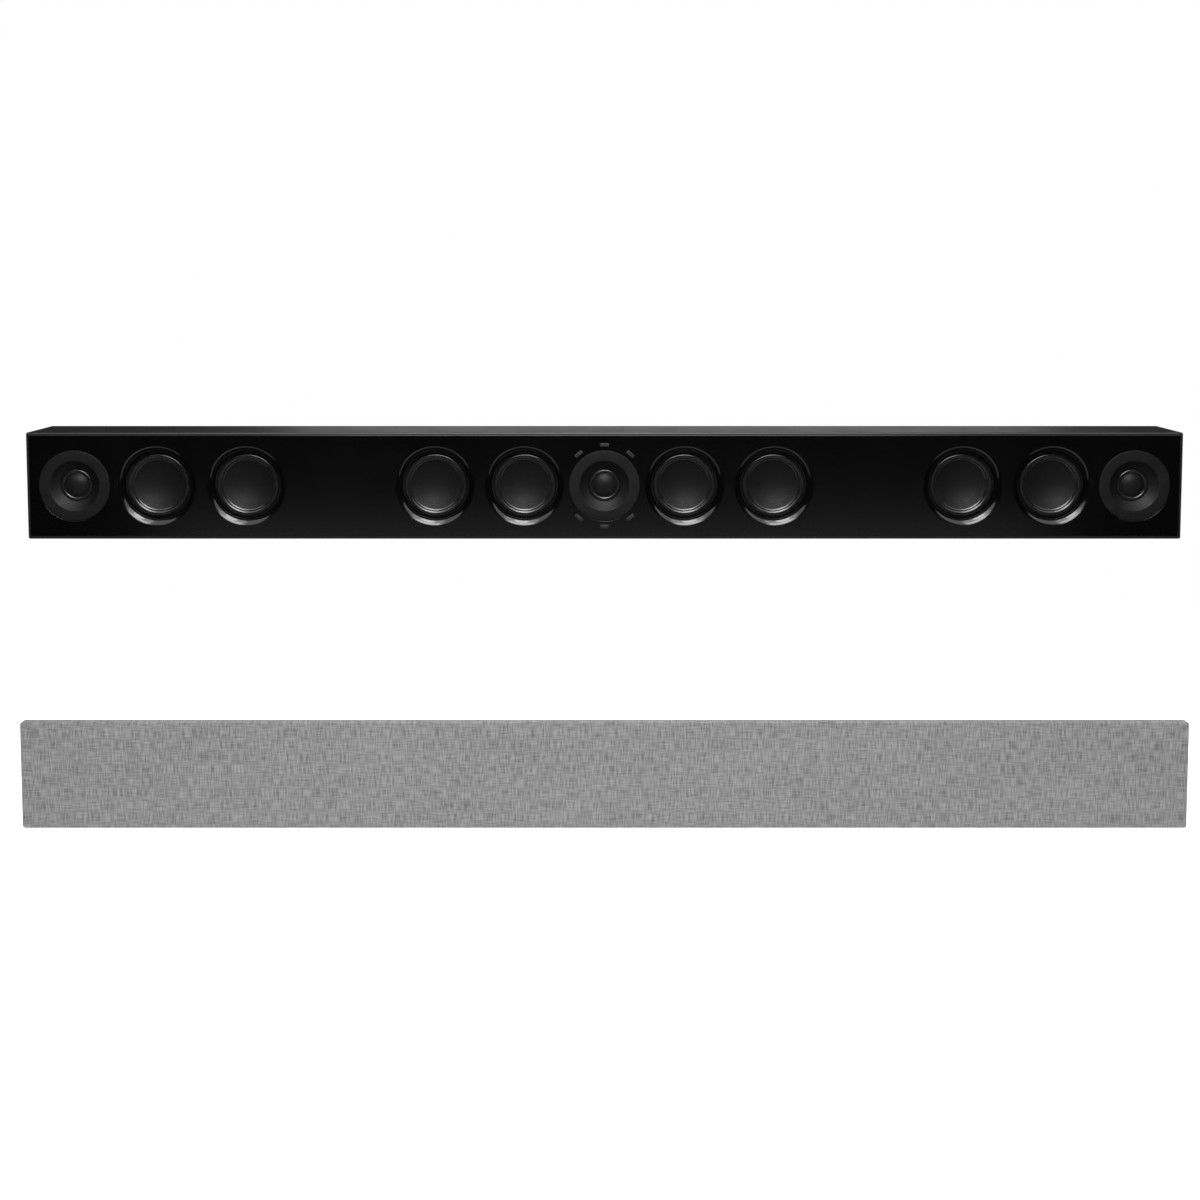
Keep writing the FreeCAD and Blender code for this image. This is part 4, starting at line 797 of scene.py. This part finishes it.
def grille_fabric():
    """One sheet of cloth: a flat front, wrapped round the frame's edge and hemmed on its back."""
    low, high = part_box("grille_cloth")
    centre = (low + high) / 2
    half = (high - low) / 2
    inner_x, inner_z = half.x - GRID_INSET, half.z - GRID_INSET
    across = round(2 * inner_x / THREAD_STEP)
    along = round(2 * inner_z / THREAD_STEP)
    xs = np.linspace(-inner_x, inner_x, across + 1)
    zs = np.linspace(-inner_z, inner_z, along + 1)
    rows = sheet_rows(low.y, high.y)

    points, flats, faces = [], [], []
    grid = {}
    for i, x in enumerate(xs):
        for j, z in enumerate(zs):
            grid[i, j] = len(points)
            points.append((centre.x + x, low.y, centre.z + z))
            flats.append((x, 0, z))
    for i in range(across):
        for j in range(along):
            faces.append((grid[i, j], grid[i + 1, j], grid[i + 1, j + 1], grid[i, j + 1]))
    turn = CORNER_STEPS + 1
    ring = [grid[i, along] for i in range(across + 1)] + [grid[across, along]] * turn
    ring += [grid[across, j] for j in range(along, -1, -1)] + [grid[across, 0]] * turn
    ring += [grid[i, 0] for i in range(across, -1, -1)] + [grid[0, 0]] * turn
    ring += [grid[0, j] for j in range(along + 1)] + [grid[0, along]] * turn
    for inset, y, out in rows:
        after = range(len(points), len(points) + len(ring))
        points += [(centre.x + x, y, centre.z + z) for x, z in sheet_rim(half, xs, zs, inset)]
        flats += [(x, 0, z) for x, z in sheet_rim(half, xs, zs, -out)]
        for k in range(len(ring)):
            add_face(faces, (ring[k - 1], ring[k], after[k], after[k - 1]))
        ring = list(after)
    made = mesh_object("grille_fabric", points, faces, sharp=60)
    store = made.data.attributes.new(FLAT_PLACE, "FLOAT_VECTOR", "POINT")
    store.data.foreach_set("vector", np.array(flats, np.float32).ravel())
    stand_in(made, "grille", "grille_cloth", "grille_cloth")


# ---- stage ----

CAMERA_PLACE = (-0.0048, -1.879, 0.214)
CAMERA_DIP = 4.58
CAMERA_LENS = 50.85
CAMERA_SHIFT = -0.15
DIM = (0.012, 0.012, 0.012, 1)
FLOOR_Z = -0.62
FLOOR_RADIUS = 2.9
FLOOR_GLOW = 1.05

# name: (shape, place, aim, size, watts)
LIGHTS = {
    "overhead": ("ELLIPSE", (-0.03, -0.35, 1.05), (0, -0.1, 0), (0.5, 0.9), 9),
    "overhead_middle": ("ELLIPSE", (0, -0.55, 1.10), (0, -0.1, 0), (1.3, 1.7), 17),
    "overhead_wide": ("ELLIPSE", (0.14, -0.5, 1.15), (0, -0.1, 0), (4.2, 1.8), 34),
    "front": ("RECTANGLE", (0, -2.2, 1.8), (0, -0.1, -0.2), (1.5, 1.2), 40),
    "low_front": ("RECTANGLE", (0, -3.0, -0.575), (0, 0, -0.575), (2.5, 0.24), 0.85),
    "floor_glow": ("RECTANGLE", (0, -0.66, -0.6), (0, -0.6, 0), (2.2, 0.3), 1.5),
    "rear_rim": ("RECTANGLE", (0.12, 1.5, 0.5), (0.05, 0, 0.05), (1.5, 0.3), 1.75),
    "back_fill": ("RECTANGLE", (0, 2.4, -0.38), (0, 0, -0.1), (2.6, 0.45), 16),
}


def soft_light(name, shape, place, aim, size, power):
    """A soft area light that the camera doesn't see."""
    data = bpy.data.lights.new(name, "AREA")
    data.shape = shape
    data.size, data.size_y = size
    data.energy = power
    lamp = bpy.data.objects.new(name, data)
    bpy.context.scene.collection.objects.link(lamp)
    lamp.location = place
    lamp.rotation_mode = "QUATERNION"
    lamp.rotation_quaternion = (Vector(aim) - Vector(place)).to_track_quat("-Z", "Y")
    lamp.visible_camera = False
    return lamp


def world():
    """White to the eye, and dim to everything that reflects it."""
    made = bpy.data.worlds.new("studio")
    bpy.context.scene.world = made
    made.use_nodes = True
    tree = made.node_tree
    tree.nodes.clear()
    seen = tree.nodes.new("ShaderNodeBackground")
    seen.inputs["Color"].default_value = (1, 1, 1, 1)
    dim = tree.nodes.new("ShaderNodeBackground")
    dim.inputs["Color"].default_value = DIM
    rays = tree.nodes.new("ShaderNodeLightPath")
    mix = tree.nodes.new("ShaderNodeMixShader")
    out = tree.nodes.new("ShaderNodeOutputWorld")
    tree.links.new(rays.outputs["Is Camera Ray"], mix.inputs[0])
    tree.links.new(dim.outputs[0], mix.inputs[1])
    tree.links.new(seen.outputs[0], mix.inputs[2])
    tree.links.new(mix.outputs[0], out.inputs["Surface"])


def floor():
    """A plain pale round floor that glows evenly, so no edge or shadow of it shows."""
    turns = [2 * math.pi * k / ROUND for k in range(ROUND)]
    points = [(FLOOR_RADIUS * math.cos(a), FLOOR_RADIUS * math.sin(a), FLOOR_Z) for a in turns]
    made = mesh_object("floor", points, [tuple(range(ROUND))])
    pale = Finish("floor_paper", (0.82, 0.82, 0.82), 0.9, specular=0.1)
    pale.tint(pale.noise(0.5), (0.80, 0.80, 0.80), (0.84, 0.84, 0.84))
    pale.set("Emission Color", (1, 1, 1, 1)).set("Emission Strength", FLOOR_GLOW)
    made.data.materials.append(pale.material)
    made.visible_glossy = False


def lights():
    """All the lamps. The glow under the bar shows only as a reflection."""
    made = {name: soft_light(name, *settings) for name, settings in LIGHTS.items()}
    made["floor_glow"].visible_diffuse = False


def camera():
    """In front of the bar and a little above it, looking slightly down."""
    data = bpy.data.cameras.new("camera")
    data.sensor_width = 36
    data.lens = CAMERA_LENS
    data.shift_y = CAMERA_SHIFT
    data.clip_end = 50
    made = bpy.data.objects.new("camera", data)
    bpy.context.scene.collection.objects.link(made)
    made.location = CAMERA_PLACE
    made.rotation_euler = (math.radians(90 - CAMERA_DIP), 0, 0)
    bpy.context.scene.camera = made


dress_nodes()
baffle_board()
index_marks()
for number in WOOFERS:
    woofer_cone(number)
    woofer_surround(number)
for side in TWEETERS:
    tweeter_plate(side)
    tweeter_dome(side)
    tweeter_surround(side)
for number in CAPS:
    push_cap(number)
grille_fabric()
world()
floor()
lights()
camera()
bpy.context.scene.view_settings.view_transform = "Standard"
